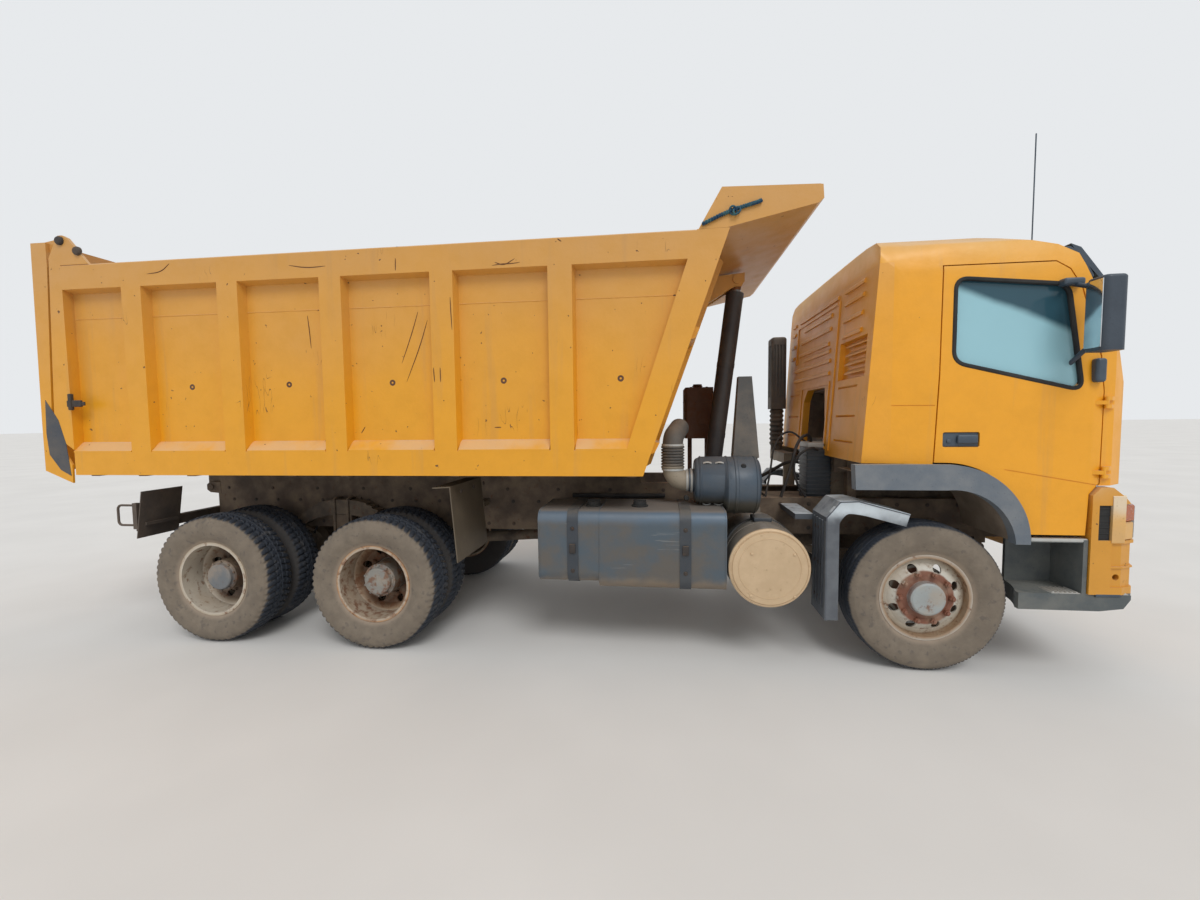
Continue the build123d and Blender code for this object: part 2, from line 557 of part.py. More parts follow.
def bed_headboard():
    """Leaning front wall with stiffening channels and the ears that take the hoist's eye."""
    wall = 10
    low = BED_FLOOR_Z - 43
    setback = HEADBOARD_SETBACK
    sheet = side_shape([(front_x(low) - setback, low), (front_x(low) - setback + wall, low),
                        (front_x(BED_TOP) - setback + wall, BED_TOP), (front_x(BED_TOP) - setback, BED_TOP)],
                       -BED_INNER_Y, BED_INNER_Y)
    shapes = [sheet]
    for y in (-700, 150, -230, 620):
        shapes.append(side_shape([(front_x(low) - 25, low), (front_x(low) + 45, low + 40),
                                  (front_x(2960) + 45, 2960), (front_x(BED_TOP) - 25, BED_TOP)], y, y + 80))
    for z in (1500, 2300):
        shapes.append(side_shape([(front_x(z) - 25, z), (front_x(z) + 30, z + 15),
                                  (front_x(z + 100) + 30, z + 85), (front_x(z + 100) - 25, z + 100)],
                                 -BED_INNER_Y, BED_INNER_Y))
    eye_x, eye_z = HOIST_EYE
    ear = [(front_x(eye_z - 260) - 25, eye_z - 260), (eye_x - 30, eye_z - 62), (eye_x + 30, eye_z - 62),
           (eye_x + 60, eye_z - 20), (eye_x + 60, eye_z + 55), (front_x(BED_TOP) - 25, BED_TOP)]
    for y in (HOIST_EAR_Y[0], -HOIST_EAR_Y[1]):
        shapes.append(side_shape(ear, y, y + HOIST_EAR_Y[1] - HOIST_EAR_Y[0]))
        cap_y = y + 20 if y > 0 else y - 14
        shapes.append(cross_rod(eye_x, eye_z, HOIST_PIN_RADIUS + 8, cap_y, cap_y + 14))
    return fused(shapes)


def bed_canopy():
    """Plate that carries the headboard forward over the gap behind the cab, with a side cheek each side."""
    lip_x, lip_z = CANOPY_LIP
    start = (front_x(BED_TOP) - 20, BED_TOP + 1)
    plate = side_shape([start, (lip_x, lip_z), (lip_x, lip_z + CANOPY_WALL), (start[0] - 8, start[1] + 9)],
                       -BED_HALF, BED_HALF)
    cheek = side_shape([(front_x(BED_TOP) - POST_WIDTH - 40, BED_TOP + 1), start, (lip_x, lip_z),
                        (lip_x + 35, lip_z + 28), CANOPY_PEAK, (CANOPY_PEAK[0] - 20, CANOPY_PEAK[1] + 4),
                        CANOPY_TOP_REAR], BED_HALF - CANOPY_WALL, BED_HALF)
    front_lip = side_shape([(lip_x, lip_z), (lip_x + 35, lip_z + 28), (lip_x + 33, lip_z + 60),
                            (lip_x + 25, lip_z + 60), (lip_x + 27, lip_z + 32), (lip_x - 8, lip_z + 4)],
                           -BED_HALF + 1, BED_HALF - 1)
    folds = [side_shape([(x, BED_TOP + 30 + (x - start[0]) * 0.21), (x + 60, BED_TOP + 42 + (x - start[0]) * 0.21),
                         (x + 60, BED_TOP + 110 + (x - start[0]) * 0.21),
                         (x, BED_TOP + 110 + (x - start[0]) * 0.21)], -BED_HALF + 1, BED_HALF - 1)
             for x in (4300,)]
    return fused([plate, front_lip] + both_sides(cheek) + folds)


def bed_underframe():
    """Cross bearers, two long sills that rest on the subframe, and the hinge arms behind them."""
    bearer_z = (BED_FLOOR_Z - 60, BED_FLOOR_Z)
    sill_y = (FRAME_HALF - 80, FRAME_HALF)
    shapes = both_sides(block((FRAME_REAR, 3390), sill_y, (SUBFRAME_TOP, BED_FLOOR_Z - 60)))
    count = 11
    first, last = -1060, 3360
    for index in range(count):
        x = first + (last - first) * index / (count - 1)
        shapes.append(block((x - 35, x + 35), (-BED_INNER_Y, BED_INNER_Y), bearer_z))
    shapes += both_sides(block((first - 35, FRAME_REAR + 5), sill_y, (BED_FLOOR_Z - 110, BED_FLOOR_Z - 55)))
    arm = [(FRAME_REAR, BED_FLOOR_Z - 60), (FRAME_REAR - 150, BED_FLOOR_Z - 60),
           (BED_HINGE_X - BED_HUB_RADIUS, BED_HINGE_Z), (BED_HINGE_X - 30, BED_HINGE_Z - 42),
           (BED_HINGE_X + 30, BED_HINGE_Z - 42), (FRAME_REAR - 20, BED_HINGE_Z + 30),
           (FRAME_REAR, SUBFRAME_TOP)]
    hub = cross_rod(BED_HINGE_X, BED_HINGE_Z, BED_HUB_RADIUS, *BED_ARM_Y)
    shapes += both_sides(fused([side_shape(arm, *BED_ARM_Y), hub]))
    body = fused(shapes)
    bore = cross_rod(BED_HINGE_X, BED_HINGE_Z, BED_PIN_RADIUS + PIN_PLAY, -FRAME_HALF - 80, FRAME_HALF + 80)
    return body - bore


def tailgate_hinge_ear():
    """Ear on the bed's left rear corner that carries the tailgate's pin."""
    outline = [(BED_REAR_TOP_X + 2, BED_TOP), (-877, BED_TOP), (GATE_PIN_X + 60, GATE_PIN_Z + 22),
               (GATE_PIN_X + 20, GATE_PIN_Z + 42), (GATE_PIN_X - 20, GATE_PIN_Z + 42),
               (GATE_PIN_X - 48, GATE_PIN_Z), (BED_REAR_TOP_X + 2, BED_TOP + 60)]
    ear = side_shape(outline, BED_HALF - 25, BED_HALF)
    pin = cross_rod(GATE_PIN_X, GATE_PIN_Z, GATE_PIN_RADIUS, BED_HALF - 60, BED_HALF)
    return fused([ear, pin])


def tailgate():
    """Framed tailgate hung from arms at its top, with side plates that wrap the bed's lower corners."""
    rear = TRUCK_REAR
    post = [(rear + 23, GATE_TOP_Z), (gate_x(BED_TOP) - 2, GATE_TOP_Z), (gate_x(BED_TOP) - 2, BED_TOP),
            (gate_x(GATE_LOW_Z) - 2, GATE_LOW_Z), (rear, GATE_LOW_Z), (rear, 1769)]
    skin = [(gate_x(BED_TOP) - 2, GATE_TOP_Z), (gate_x(BED_TOP) - 2, BED_TOP),
            (gate_x(GATE_LOW_Z) - 2, GATE_LOW_Z), (gate_x(GATE_LOW_Z) - 12, GATE_LOW_Z),
            (gate_x(BED_TOP) - 12, BED_TOP), (gate_x(BED_TOP) - 12, GATE_TOP_Z)]
    shapes = both_sides(side_shape(post, BED_HALF - 110, BED_HALF - 1))
    shapes.append(side_shape(skin, -BED_HALF + 100, BED_HALF - 100))
    for low, high in ((GATE_TOP_Z - 130, GATE_TOP_Z), (2560, 2660), (1980, 2080), (GATE_LOW_Z, GATE_LOW_Z + 150)):
        shapes.append(side_shape([(rear + 12, low), (rear + 22, high), (gate_x(high) - 5, high),
                                  (gate_x(low) - 5, low)], -BED_HALF + 100, BED_HALF - 100))
    for y in (-420, 340):
        shapes.append(side_shape([(rear + 10, GATE_LOW_Z + 20), (rear + 24, GATE_TOP_Z - 20),
                                  (gate_x(BED_TOP) - 6, GATE_TOP_Z - 20), (gate_x(GATE_LOW_Z) - 6, GATE_LOW_Z + 20)],
                                 y, y + 80))
    flap = [(rear + 4, 1700), (gate_x(1700) - 2, 1700), (BED_TAIL_X - 30, 1440), (BED_TAIL_X - 35, 1292),
            (rear + 4, GATE_LOW_Z)]
    shapes += both_sides(side_shape(flap, BED_HALF - 16, BED_HALF - 1))
    arm = [(rear + 25, GATE_TOP_Z - 100), (gate_x(BED_TOP) - 2, GATE_TOP_Z - 70), (GATE_PIN_X, GATE_PIN_Z - 36),
           (GATE_PIN_X, GATE_PIN_Z + 36), (rear + 40, GATE_TOP_Z)]
    arm_y = (BED_HALF - 55, BED_HALF - 30)
    hub = cross_rod(GATE_PIN_X, GATE_PIN_Z, 38, *arm_y)
    shapes += both_sides(fused([side_shape(arm, *arm_y), hub]))
    body = fused(shapes)
    return body - cross_rod(GATE_PIN_X, GATE_PIN_Z, GATE_PIN_RADIUS + PIN_PLAY, -BED_HALF - 5, BED_HALF + 5)


# Hoist

def hoist():
    """Foot tube and three nested stages, drawn closed along the line from foot pin to top eye."""
    foot = Vector(HOIST_FOOT[0], 0, HOIST_FOOT[1])
    eye = Vector(HOIST_EYE[0], 0, HOIST_EYE[1])
    length = (eye - foot).length
    place = Plane(origin=foot, x_dir=(0, 1, 0), z_dir=eye - foot)
    tube_top = length - 118
    bottom = 75

    def tube(outer, inner, low, high, floor):
        body = Pos(0, 0, low) * Cylinder(outer, high - low, align=(Align.CENTER, Align.CENTER, Align.MIN))
        if inner:
            hole = Pos(0, 0, low + floor) * Cylinder(
                inner, high - low, align=(Align.CENTER, Align.CENTER, Align.MIN))
            body -= hole
        return body

    outer = tube(HOIST_TUBE_RADIUS, HOIST_STAGE_RADII[0] + 0.5, bottom, tube_top, 20)
    foot_eye = Rot(0, 0, 90) * (Rot(90, 0, 0) * Cylinder(60, 2 * HOIST_TUBE_RADIUS))
    neck = Pos(0, 0, 50) * Box(150, 90, 60)
    outer = fused([outer, foot_eye, neck])
    outer -= Rot(0, 90, 0) * Cylinder(HOIST_PIN_RADIUS + PIN_PLAY, 400)
    pieces = [place * outer]
    low = bottom + 20 + CLEARANCE
    for index, radius in enumerate(HOIST_STAGE_RADII):
        last = index == len(HOIST_STAGE_RADII) - 1
        inner = 0 if last else HOIST_STAGE_RADII[index + 1] + 0.5
        high = length - 48 if last else tube_top + 12 * (index + 1)
        stage = tube(radius, inner, low, high, 15)
        if last:
            eye_ring = Pos(0, 0, length) * (Rot(0, 90, 0) * Cylinder(56, 2 * (HOIST_EAR_Y[0] - CLEARANCE)))
            neck = Pos(0, 0, length - 50) * Box(2 * 42, 2 * 42, 60)
            stage = fused([stage, neck, eye_ring])
        pieces.append(place * stage)
        low += 15 + CLEARANCE
    return pieces


# Cab shell


def cab_block(inset):
    """Cab's outside, or a smaller copy for its inside, as the meeting of a side, a plan and a front view."""
    low = CAB_LOW_Z - 200
    side = make_face(Polyline(*[(x, 0, z) for x, z in CAB_PROFILE],
                              (CAB_PROFILE[-1][0], 0, low), (CAB_REAR_LOW[0], 0, low), close=True))
    plan_left = [(x, y, 0) for x, y in CAB_PLAN]
    plan_right = [(x, -y, 0) for x, y in reversed(CAB_PLAN[:-1])]
    plan = make_face(Polyline(*plan_left, *plan_right, close=True))
    section_left = [(0, y, z) for y, z in CAB_SECTION]
    section_right = [(0, -y, z) for y, z in reversed(CAB_SECTION[:-1])]
    section = make_face(Polyline(*section_left, *section_right, close=True))
    if inset:
        side = offset(side, amount=-inset, kind=Kind.INTERSECTION)
        plan = offset(plan, amount=-inset, kind=Kind.INTERSECTION)
        section = offset(section, amount=-inset, kind=Kind.INTERSECTION)
    side = extrude(Pos(0, 1400, 0) * side, amount=2800, dir=(0, -1, 0))
    plan = extrude(Pos(0, 0, 500) * plan, amount=3000, dir=(0, 0, 1))
    section = extrude(Pos(4500, 0, 0) * section, amount=2600, dir=(1, 0, 0))
    return side & plan & section


def side_prism(points, grow, side, y_reach=(900, 1400), corner=0):
    """Prism through one side of the cab from an outline in x and z, its corners rounded, then grown or shrunk."""
    face = make_face(Polyline(*[(x, 0, z) for x, z in points], close=True))
    if corner:
        face = fillet(face.vertices(), corner)
    if grow:
        face = offset(face, amount=grow, kind=Kind.INTERSECTION)
    return extrude(Pos(0, side * y_reach[0], 0) * face, amount=y_reach[1] - y_reach[0], dir=(0, side, 0))


def wheel_arch(grow):
    """Space under the arch moulding, right across the truck, grown by an amount."""
    x, z = ARCH_CENTRE
    radius = ARCH_RADIUS + grow
    return fused([cross_rod(x, z, radius, -1400, 1400), block((4700, x), (-1400, 1400), (500, z + radius)),
                  block((4700, x + radius), (-1400, 1400), (500, z))])


def engine_hump(grow):
    """Raised cover over the engine, as a solid that can be grown or shrunk by an amount."""
    low = CAB_FLOOR_Z + min(grow, 0)
    start = CAB_REAR_LOW[0] - 50
    points = [(start, low), (start, TUNNEL_TOP + TUNNEL_WALL + grow),
              (5900 + grow * 0.6, TUNNEL_TOP - 130 + grow), (6275 + grow, CAB_FLOOR_Z + 300 + grow * 0.4),
              (6275 + grow, low)]
    half = TUNNEL_HALF + TUNNEL_WALL + grow
    return side_shape(points, -half, half)


def back_x(z):
    """x of the cab's leaning back wall at a height."""
    (low_x, low_z), (top_x, top_z) = CAB_REAR_LOW, CAB_REAR_TOP
    return low_x + (z - low_z) * (top_x - low_x) / (top_z - low_z)


def back_wall_details(wall):
    """Pressed ridges, frames, a deep louvre with slats and small vents in the cab's back wall."""
    # each row: lowest z, y from, y to
    ridges = [(2706, -386, 730), (2596, -258, 566), (2484, -247, 655), (2362, -227, 677), (2296, -273, 480),
              (2212, -293, 825), (2108, -297, 806)]
    ridges += [(low, -915, -545) for low in (2706, 2612, 2484, 2362)]
    ridges += [(low, 880, 1010) for low in (2706, 2612, 2484, 2362)]
    for low, y_from, y_to in ridges:
        wall += side_shape([(back_x(low) + 20, low), (back_x(low) - 13, low + 2), (back_x(low + 24) - 13, low + 24),
                            (back_x(low + 60) + 20, low + 60)], y_from, y_to)
    # frame bars: lowest z, highest z, y from, y to
    bars = [(2665, 2690, -385, 795), (2300, 2690, 770, 795), (1480, 2690, -430, -405), (2028, 2053, -300, 735),
            (1480, 2053, 470, 495), (1480, 2053, -325, -300)]
    for low, high, y_from, y_to in bars:
        wall += side_shape([(back_x(low) + 20, low), (back_x(low) - 9, low), (back_x(high) - 9, high),
                            (back_x(high) + 20, high)], y_from, y_to)
    recess = side_shape([(back_x(2035) - 20, 2035), (back_x(2035) + 42, 2050), (back_x(2325) + 42, 2325),
                         (back_x(2335) - 20, 2335)], -1030, -505)
    wall -= recess
    for low in (2080, 2148, 2216, 2284):
        wall += side_shape([(back_x(low) + 45, low + 30), (back_x(low) + 45, low + 38), (back_x(low) + 12, low + 8),
                            (back_x(low) + 12, low)], -1032, -600)
    for low in (1972, 1752, 1560):
        for y_from, y_to in ((-925, -535), (560, 925)):
            wall -= side_shape([(back_x(low) - 5, low), (back_x(low) + 14, low + 4), (back_x(low) - 5, low + 26)],
                               y_from, y_to)
    return wall


def hinge(side):
    """Door side and cab side of the two hinges of one door, each a barrel on a leaf, with the pin on the cab."""
    door_parts, cab_parts = [], []
    x, y = DOOR_HINGE_X, DOOR_HINGE_Y
    third = HINGE_LENGTH / 3
    door_leaf = [(x, y - 9), (x, y + 9), (x - 26, y + 7), (x - 62, y - 8), (x - 62, y - 34), (x - 26, y - 22)]
    cab_leaf = [(x, y - 9), (x, y + 9), (x + 26, y + 3), (x + 62, y - 25), (x + 62, y - 48), (x + 26, y - 40)]
    for low in HINGE_HEIGHTS:
        high = low + HINGE_LENGTH
        barrel = fused([rod((x, y, low + third), (x, y, high - third), HINGE_BARREL_RADIUS),
                        plan_shape(door_leaf, low + third, high - third)])
        door_parts.append(barrel - rod((x, y, low), (x, y, high), HINGE_PIN_RADIUS + PIN_PLAY))
        ends = [rod((x, y, low), (x, y, high), HINGE_PIN_RADIUS)]
        for z_low, z_high in ((low, low + third - PIN_PLAY), (high - third + PIN_PLAY, high)):
            ends += [rod((x, y, z_low), (x, y, z_high), HINGE_BARREL_RADIUS), plan_shape(cab_leaf, z_low, z_high)]
        cab_parts.append(fused(ends))
    if side < 0:
        return [[mirror(part, about=Plane.XZ) for part in parts] for parts in (door_parts, cab_parts)]
    return door_parts, cab_parts


def cab_pieces():
    """Cab panels cut from one shell, with their windows, doors, glass and floor."""
    outer = cab_block(0)
    inner = cab_block(CAB_WALL)
    shell = outer - inner
    glass_skin = cab_block(20) - cab_block(20 + GLASS_WALL)
    shell -= wheel_arch(0)
    shell -= block((4700, 7000), (-1400, 1400), (500, CAB_LOW_Z))
    shell -= block((6380, 7000), (-1400, 1400), (500, CAB_FLOOR_Z - 5))
    shell -= block((4700, 7000), (-1120, 1120), (500, CAB_FLOOR_Z - 5))

    roof_zone = fused([block((4700, 7000), (-1400, 1400), (ROOF_SPLIT_Z, 3300)),
                       block((6000, 7000), (-SCREEN_HALF - 20, SCREEN_HALF + 20), (SCREEN_TOP_Z, 3300))])
    roof = shell & roof_zone
    walls = shell - roof_zone
    screen_zone = block((6050, 7000), (-SCREEN_HALF, SCREEN_HALF), (SCREEN_LOW_Z, SCREEN_TOP_Z))
    back = walls & block((4700, BACK_SPLIT_X), (-1400, 1400), (500, 3300))
    tunnel_mouth = cross_shape([(-360, 1200), (-330, 1560), (-250, 1800), (-200, TUNNEL_TOP), (300, TUNNEL_TOP),
                                (400, 1900), (400, 1200)], 4700, BACK_SPLIT_X + 50)
    back = back_wall_details(back - tunnel_mouth)
    rest = walls - block((4700, BACK_SPLIT_X), (-1400, 1400), (500, 3300))
    front_zone = block((6380, 7000), (-SCREEN_HALF - 20, SCREEN_HALF + 20), (500, SCREEN_LOW_Z))
    front = rest & front_zone
    sides = rest - front_zone - screen_zone
    sides -= block((6000, 7000), (-SCREEN_HALF - 20, SCREEN_HALF + 20), (500, 3300))
    windscreen = glass_skin & block((6050, 7000), (-SCREEN_HALF - 20 + SEAT_GAP, SCREEN_HALF + 20 - SEAT_GAP),
                                    (SCREEN_LOW_Z + SEAT_GAP, SCREEN_TOP_Z - SEAT_GAP))
    doors = {}
    groove_skin = outer - cab_block(SEAM_DEPTH)
    grille_skin = outer - cab_block(GRILLE_DEPTH)
    for low in GRILLE_HEIGHTS:
        front -= grille_skin & block((6400, 7000), (-GRILLE_HALF, GRILLE_HALF), (low, low + GRILLE_SLOT))
    for name, side in SIDES:
        door_leaves, cab_leaves = hinge(side)
        window = side_prism(WINDOW_OUTLINE, 0, side, corner=WINDOW_CORNER)
        door = rest & side_prism(DOOR_OUTLINE, -DOOR_GAP / 2, side)
        door -= window + wheel_arch(2 * CLEARANCE) + side_prism(HANDLE_OUTLINE, 0, side, (1176, 1400), 12)
        door -= groove_skin & side_prism(CREASE_OUTLINE, 0, side)
        doors[f"door_{name}"] = fused([door] + door_leaves)
        doors[f"door_glass_{name}"] = glass_skin & side_prism(WINDOW_OUTLINE, -SEAT_GAP, side, corner=WINDOW_CORNER)
        sides -= side_prism(DOOR_OUTLINE, DOOR_GAP / 2, side)
        sides -= block((6200, 7000), (-1400, 1400), (500, CAB_FLOOR_Z - 5))
        sides -= groove_skin & side_prism(SEAM_OUTLINE, 0, side)
        sides = fused([sides] + cab_leaves)

    wall = CAB_FLOOR_WALL
    floor = inner & side_shape([(4900, REAR_FLOOR_Z), (REAR_FLOOR_END, REAR_FLOOR_Z),
                                (FRONT_FLOOR_START, CAB_FLOOR_Z), (6500, CAB_FLOOR_Z),
                                (6500, CAB_FLOOR_Z + wall), (FRONT_FLOOR_START + 15, CAB_FLOOR_Z + wall),
                                (REAR_FLOOR_END + 15, REAR_FLOOR_Z + wall), (4900, REAR_FLOOR_Z + wall)],
                               -1400, 1400)
    floor -= block((4700, 6250), (-TUNNEL_HALF, TUNNEL_HALF), (1000, 1500))
    for _, side in SIDES:
        beside_door = sorted((side * (CAB_HALF - CAB_WALL - 7 * CLEARANCE), side * 1400))
        floor -= block((5345, DOOR_HINGE_X + 30), beside_door, (1200, 1500))
    hump = (engine_hump(0) & inner) - engine_hump(-TUNNEL_WALL)
    legs = []
    for x_range, floor_z in (((5090, 5160), REAR_FLOOR_Z), ((6300, 6370), CAB_FLOOR_Z)):
        leg = block(x_range, (FRAME_HALF - 70, FRAME_HALF), (RAIL_TOP, floor_z + 10))
        legs += both_sides(leg)
    floor = fused([floor, hump] + legs)
    return {"cab_roof": roof, "cab_back_wall": back, "cab_front_panel": front, "cab_sides": sides,
            "cab_floor": floor, "windscreen": windscreen, **doors}


# Cab fittings

def seats():
    """Driver's and passenger's seats, each a cushion, a back and a pedestal."""
    shapes = []
    for y in (720, -720):
        base = block((5330, 5600), (y - 180, y + 180), (REAR_FLOOR_Z + CAB_FLOOR_WALL, 1700))
        cushion = fillet(block((5280, 5760), (y - 240, y + 240), (1690, 1830)).edges(), 35)
        back = side_shape([(5290, 1800), (5400, 1830), (5290, 2480), (5190, 2460)], y - 230, y + 230)
        back = fillet(back.edges().filter_by(Axis.Y), 35)
        shapes.append(fused([base, cushion, back]))
    return shapes


def dashboard():
    """Moulded dashboard across the cab, set on the front wall's inside."""
    outline = [(6200, 1560), (6120, 1900), (6150, 2010), (6300, 2030), (6450, 1950), (6560, 1700),
               (6560, 1560)]
    dash = side_shape(outline, -1100, 1100) & cab_block(CAB_WALL + SEAT_GAP)
    return dash - engine_hump(SEAT_GAP)


def steering_wheel():
    """Rim, three spokes and a leaning column that stands on the dashboard."""
    hub = Vector(5950, 720, 2080)
    axis = Vector(-0.5, 0, 0.86)
    place = Plane(origin=hub, x_dir=(0, 1, 0), z_dir=axis)
    rim = place * Torus(225, 15)
    column = place * (Pos(0, 0, -470) * Cylinder(32, 500, align=(Align.CENTER, Align.CENTER, Align.MIN)))
    spokes = [place * (Rot(0, 0, angle) * (Pos(112, 0, -8) * Box(226, 34, 14))) for angle in (20, 160, 270)]
    return fused([rim, column] + spokes) - dashboard()


def sun_visor():
    """Dark visor along the top of the windscreen."""
    outline = [(6199, 2856), (6260, 2830), (6400, 2640), (6373, 2633), (6240, 2790)]
    brackets = [side_shape([(6130, 2815), (6205, 2853), (6246, 2795), (6215, 2765)], y, y + 30)
                for y in (-900, -15, 870)]
    return fused([side_shape(outline, -1090, 1090)] + brackets) - cab_block(-SEAT_GAP)


def mirror_unit(side):
    """Tall door mirror on its arm, drawn for one side."""
    head = block((6140, 6270), (1290, 1440), (2130, 2570))
    head = fillet(head.edges().filter_by(Axis.Z), 35)
    head = fillet(head.edges().group_by(Axis.Z)[-1], 20)
    arms = [rod((6150, 1150, z_in), (6200, 1300, z_out), 14) for z_in, z_out in ((2590, 2520), (2050, 2200))]
    arms = [arm - cab_block(-SEAT_GAP) for arm in arms]
    unit = fused([head] + [arm.solids().sort_by(Axis.Y)[-1] for arm in arms])
    return unit if side > 0 else mirror(unit, about=Plane.XZ)


def antenna():
    """Whip aerial on the roof's right edge."""
    base = (6060, -950)
    roof_z = 2835
    whip = rod((*base, roof_z), (*base, roof_z + 790), 4)
    foot = rod((*base, roof_z), (*base, roof_z + 40), 16)
    return fused([whip, foot]) - cab_block(-SEAT_GAP)


# Arches, mudguards, bumper and steps


def wheel_sweeps():
    """Space that the steered front wheels need."""
    return [rod((DRAWN_AXLE_X, side * KINGPIN_Y, -50), (DRAWN_AXLE_X, side * KINGPIN_Y, SWEEP_TOP), SWEEP_RADIUS)
            for _, side in SIDES]


def wheel_arch_trim():
    """Left arch moulding over the front wheel."""
    x0, z0 = ARCH_CENTRE
    y = CAB_HALF - 30
    outer_r = ARCH_RADIUS - SEAT_GAP
    inner_r = 418
    drop = 80
    edges = [Line((4851, y, z0 + outer_r), (x0, y, z0 + outer_r)),
             ThreePointArc((x0, y, z0 + outer_r), (x0 + outer_r * math.sin(math.pi / 4), y,
                                                   z0 + outer_r * math.cos(math.pi / 4)), (x0 + outer_r, y, z0)),
             Line((x0 + outer_r, y, z0), (x0 + outer_r, y, 918)),
             Line((x0 + outer_r, y, 918), (x0 + inner_r, y, 918)),
             Line((x0 + inner_r, y, 918), (x0 + inner_r, y, z0 - drop + 75)),
             ThreePointArc((x0 + inner_r, y, z0 - drop + 75), (x0 + inner_r * math.sin(math.pi / 4) + 5, y,
                                                               z0 - drop + inner_r * math.cos(math.pi / 4) + 20),
                           (x0, y, z0 - drop + inner_r)),
             Line((x0, y, z0 - drop + inner_r), (4860, y, z0 - drop + inner_r)),
             Line((4860, y, z0 - drop + inner_r), (4851, y, z0 + outer_r))]
    return extrude(make_face(edges), amount=75, dir=(0, 1, 0))


def mudguards():
    """Sheets behind the front wheels and flat plates ahead of the rear wheels."""
    sheet = [(4690, 350), (4690, 1070), (4780, 1180), (4900, 1185), (5230, 1095), (5228, 1089), (4900, 1177),
             (4783, 1172), (4698, 1067), (4698, 350)]
    guard = side_shape(sheet, 880, 1190)
    ribs = [side_shape([(4682, 420), (4682, 1040), (4691, 1040), (4691, 420)], y, y + 22)
            for y in (930, 990, 1050, 1110)]
    stay = block((4560, 4692), (FRAME_HALF, 900), (1000, 1040))
    guard = fused([guard, stay] + ribs)
    ahead = [(500, 1262), (641, 1269), (686, 695), (678, 694), (633, 1261), (500, 1254)]
    plate = side_shape([(BOGIE_SPACING + x, z) for x, z in ahead], FRAME_HALF + 130, 1200)
    arm = block((BOGIE_SPACING + 620, BOGIE_SPACING + 670), (FRAME_HALF, FRAME_HALF + 140), (1010, 1060))
    return both_sides(Pos(FRONT_SHIFT, 0, 0) * guard) + both_sides(fused([plate, arm]))


def front_bumper():
    """Full-width bumper with turned-back ends and a sloping top, on two brackets."""
    plan = [(6304, 1212), (6500, 1205), (6590, 1160), (6650, 1050), (6690, 700), (TRUCK_FRONT - FRONT_SHIFT, 0)]
    outline = [(x, y) for x, y in plan] + [(x, -y) for x, y in reversed(plan[:-1])]
    outer = plan_shape(outline, 592, 1286)
    face = make_face(Polyline(*[(x, y, 0) for x, y in outline], (6200, -1212, 0), (6200, 1212, 0), close=True))
    hollow = extrude(Pos(0, 0, 600) * offset(face, amount=-75, kind=Kind.INTERSECTION), amount=800, dir=(0, 0, 1))
    hollow = Pos(0, 0, -100) * hollow
    bumper = outer - hollow - block((6200, 6303), (-1300, 1300), (500, 1400))
    bumper -= side_shape([(6296, 1228), (6368, 1304), (6296, 1304)], -1300, 1300)
    for _, side in SIDES:
        bumper -= side_shape([(6420, 1290), (6800, 1290), (6800, 1090), (6600, 1140)],
                             *sorted((side * 640, side * 1300)))
    # recesses in the outside: depth, x from, y from, z range
    recesses = [(22, 6346, 1180, (945, 1172)), (26, 6430, 640, (945, 1180)), (14, 6430, 640, (775, 925)),
                (10, 6430, 640, (640, 765))]
    for depth, x_from, y_from, z_range in recesses:
        core = offset(face, amount=-depth, kind=Kind.INTERSECTION)
        core = extrude(Pos(0, 0, 500) * core, amount=900, dir=(0, 0, 1))
        for _, side in SIDES:
            zone = block((x_from, 6800), sorted((side * y_from, side * 1300)), z_range)
            bumper -= zone - core
        bumper -= cross_rod(6468, 705, 20, 1100, 1300) + cross_rod(6468, 705, 20, -1300, -1100)
    frame_end = FRAME_FRONT - FRONT_SHIFT
    bracket = block((frame_end, frame_end + 160), (FRAME_HALF - 80, FRAME_HALF), (RAIL_BOTTOM + 20, RAIL_TOP - 20))
    return fused([bumper] + both_sides(bracket))


def cab_step(side):
    """Step housing under one door, with an open tread."""
    low = side_shape([(5900, 480), (6380, 480), (6520, 500), (6560, 560), (6560, 590), (5900, 590)], 900, 1200)
    riser = block((5960, 6298), (900, 930), (560, 945))
    cheek = block((6272, 6298), (900, 1200), (560, 945))
    top = block((5960, 6298), (900, 1195), (925, 945))
    arm = block((6230, 6290), (FRAME_HALF, 910), (880, 940))
    step = fused([low, riser, cheek, top, arm]) - wheel_sweeps()[1]
    return step if side > 0 else mirror(step, about=Plane.XZ)


# Side and rear equipment

def fuel_tank():
    """Rounded tank, its rear third a little shallower."""
    x_step = TANK_X[0] + 450
    rear = block((TANK_X[0], x_step), TANK_Y, (TANK_Z[0] + 38, TANK_Z[1]))
    front = block((x_step, TANK_X[1]), TANK_Y, TANK_Z)
    rear = fillet(rear.edges().filter_by(Axis.X), TANK_CORNER)
    front = fillet(front.edges().filter_by(Axis.X), TANK_CORNER)
    return fused([rear, front])


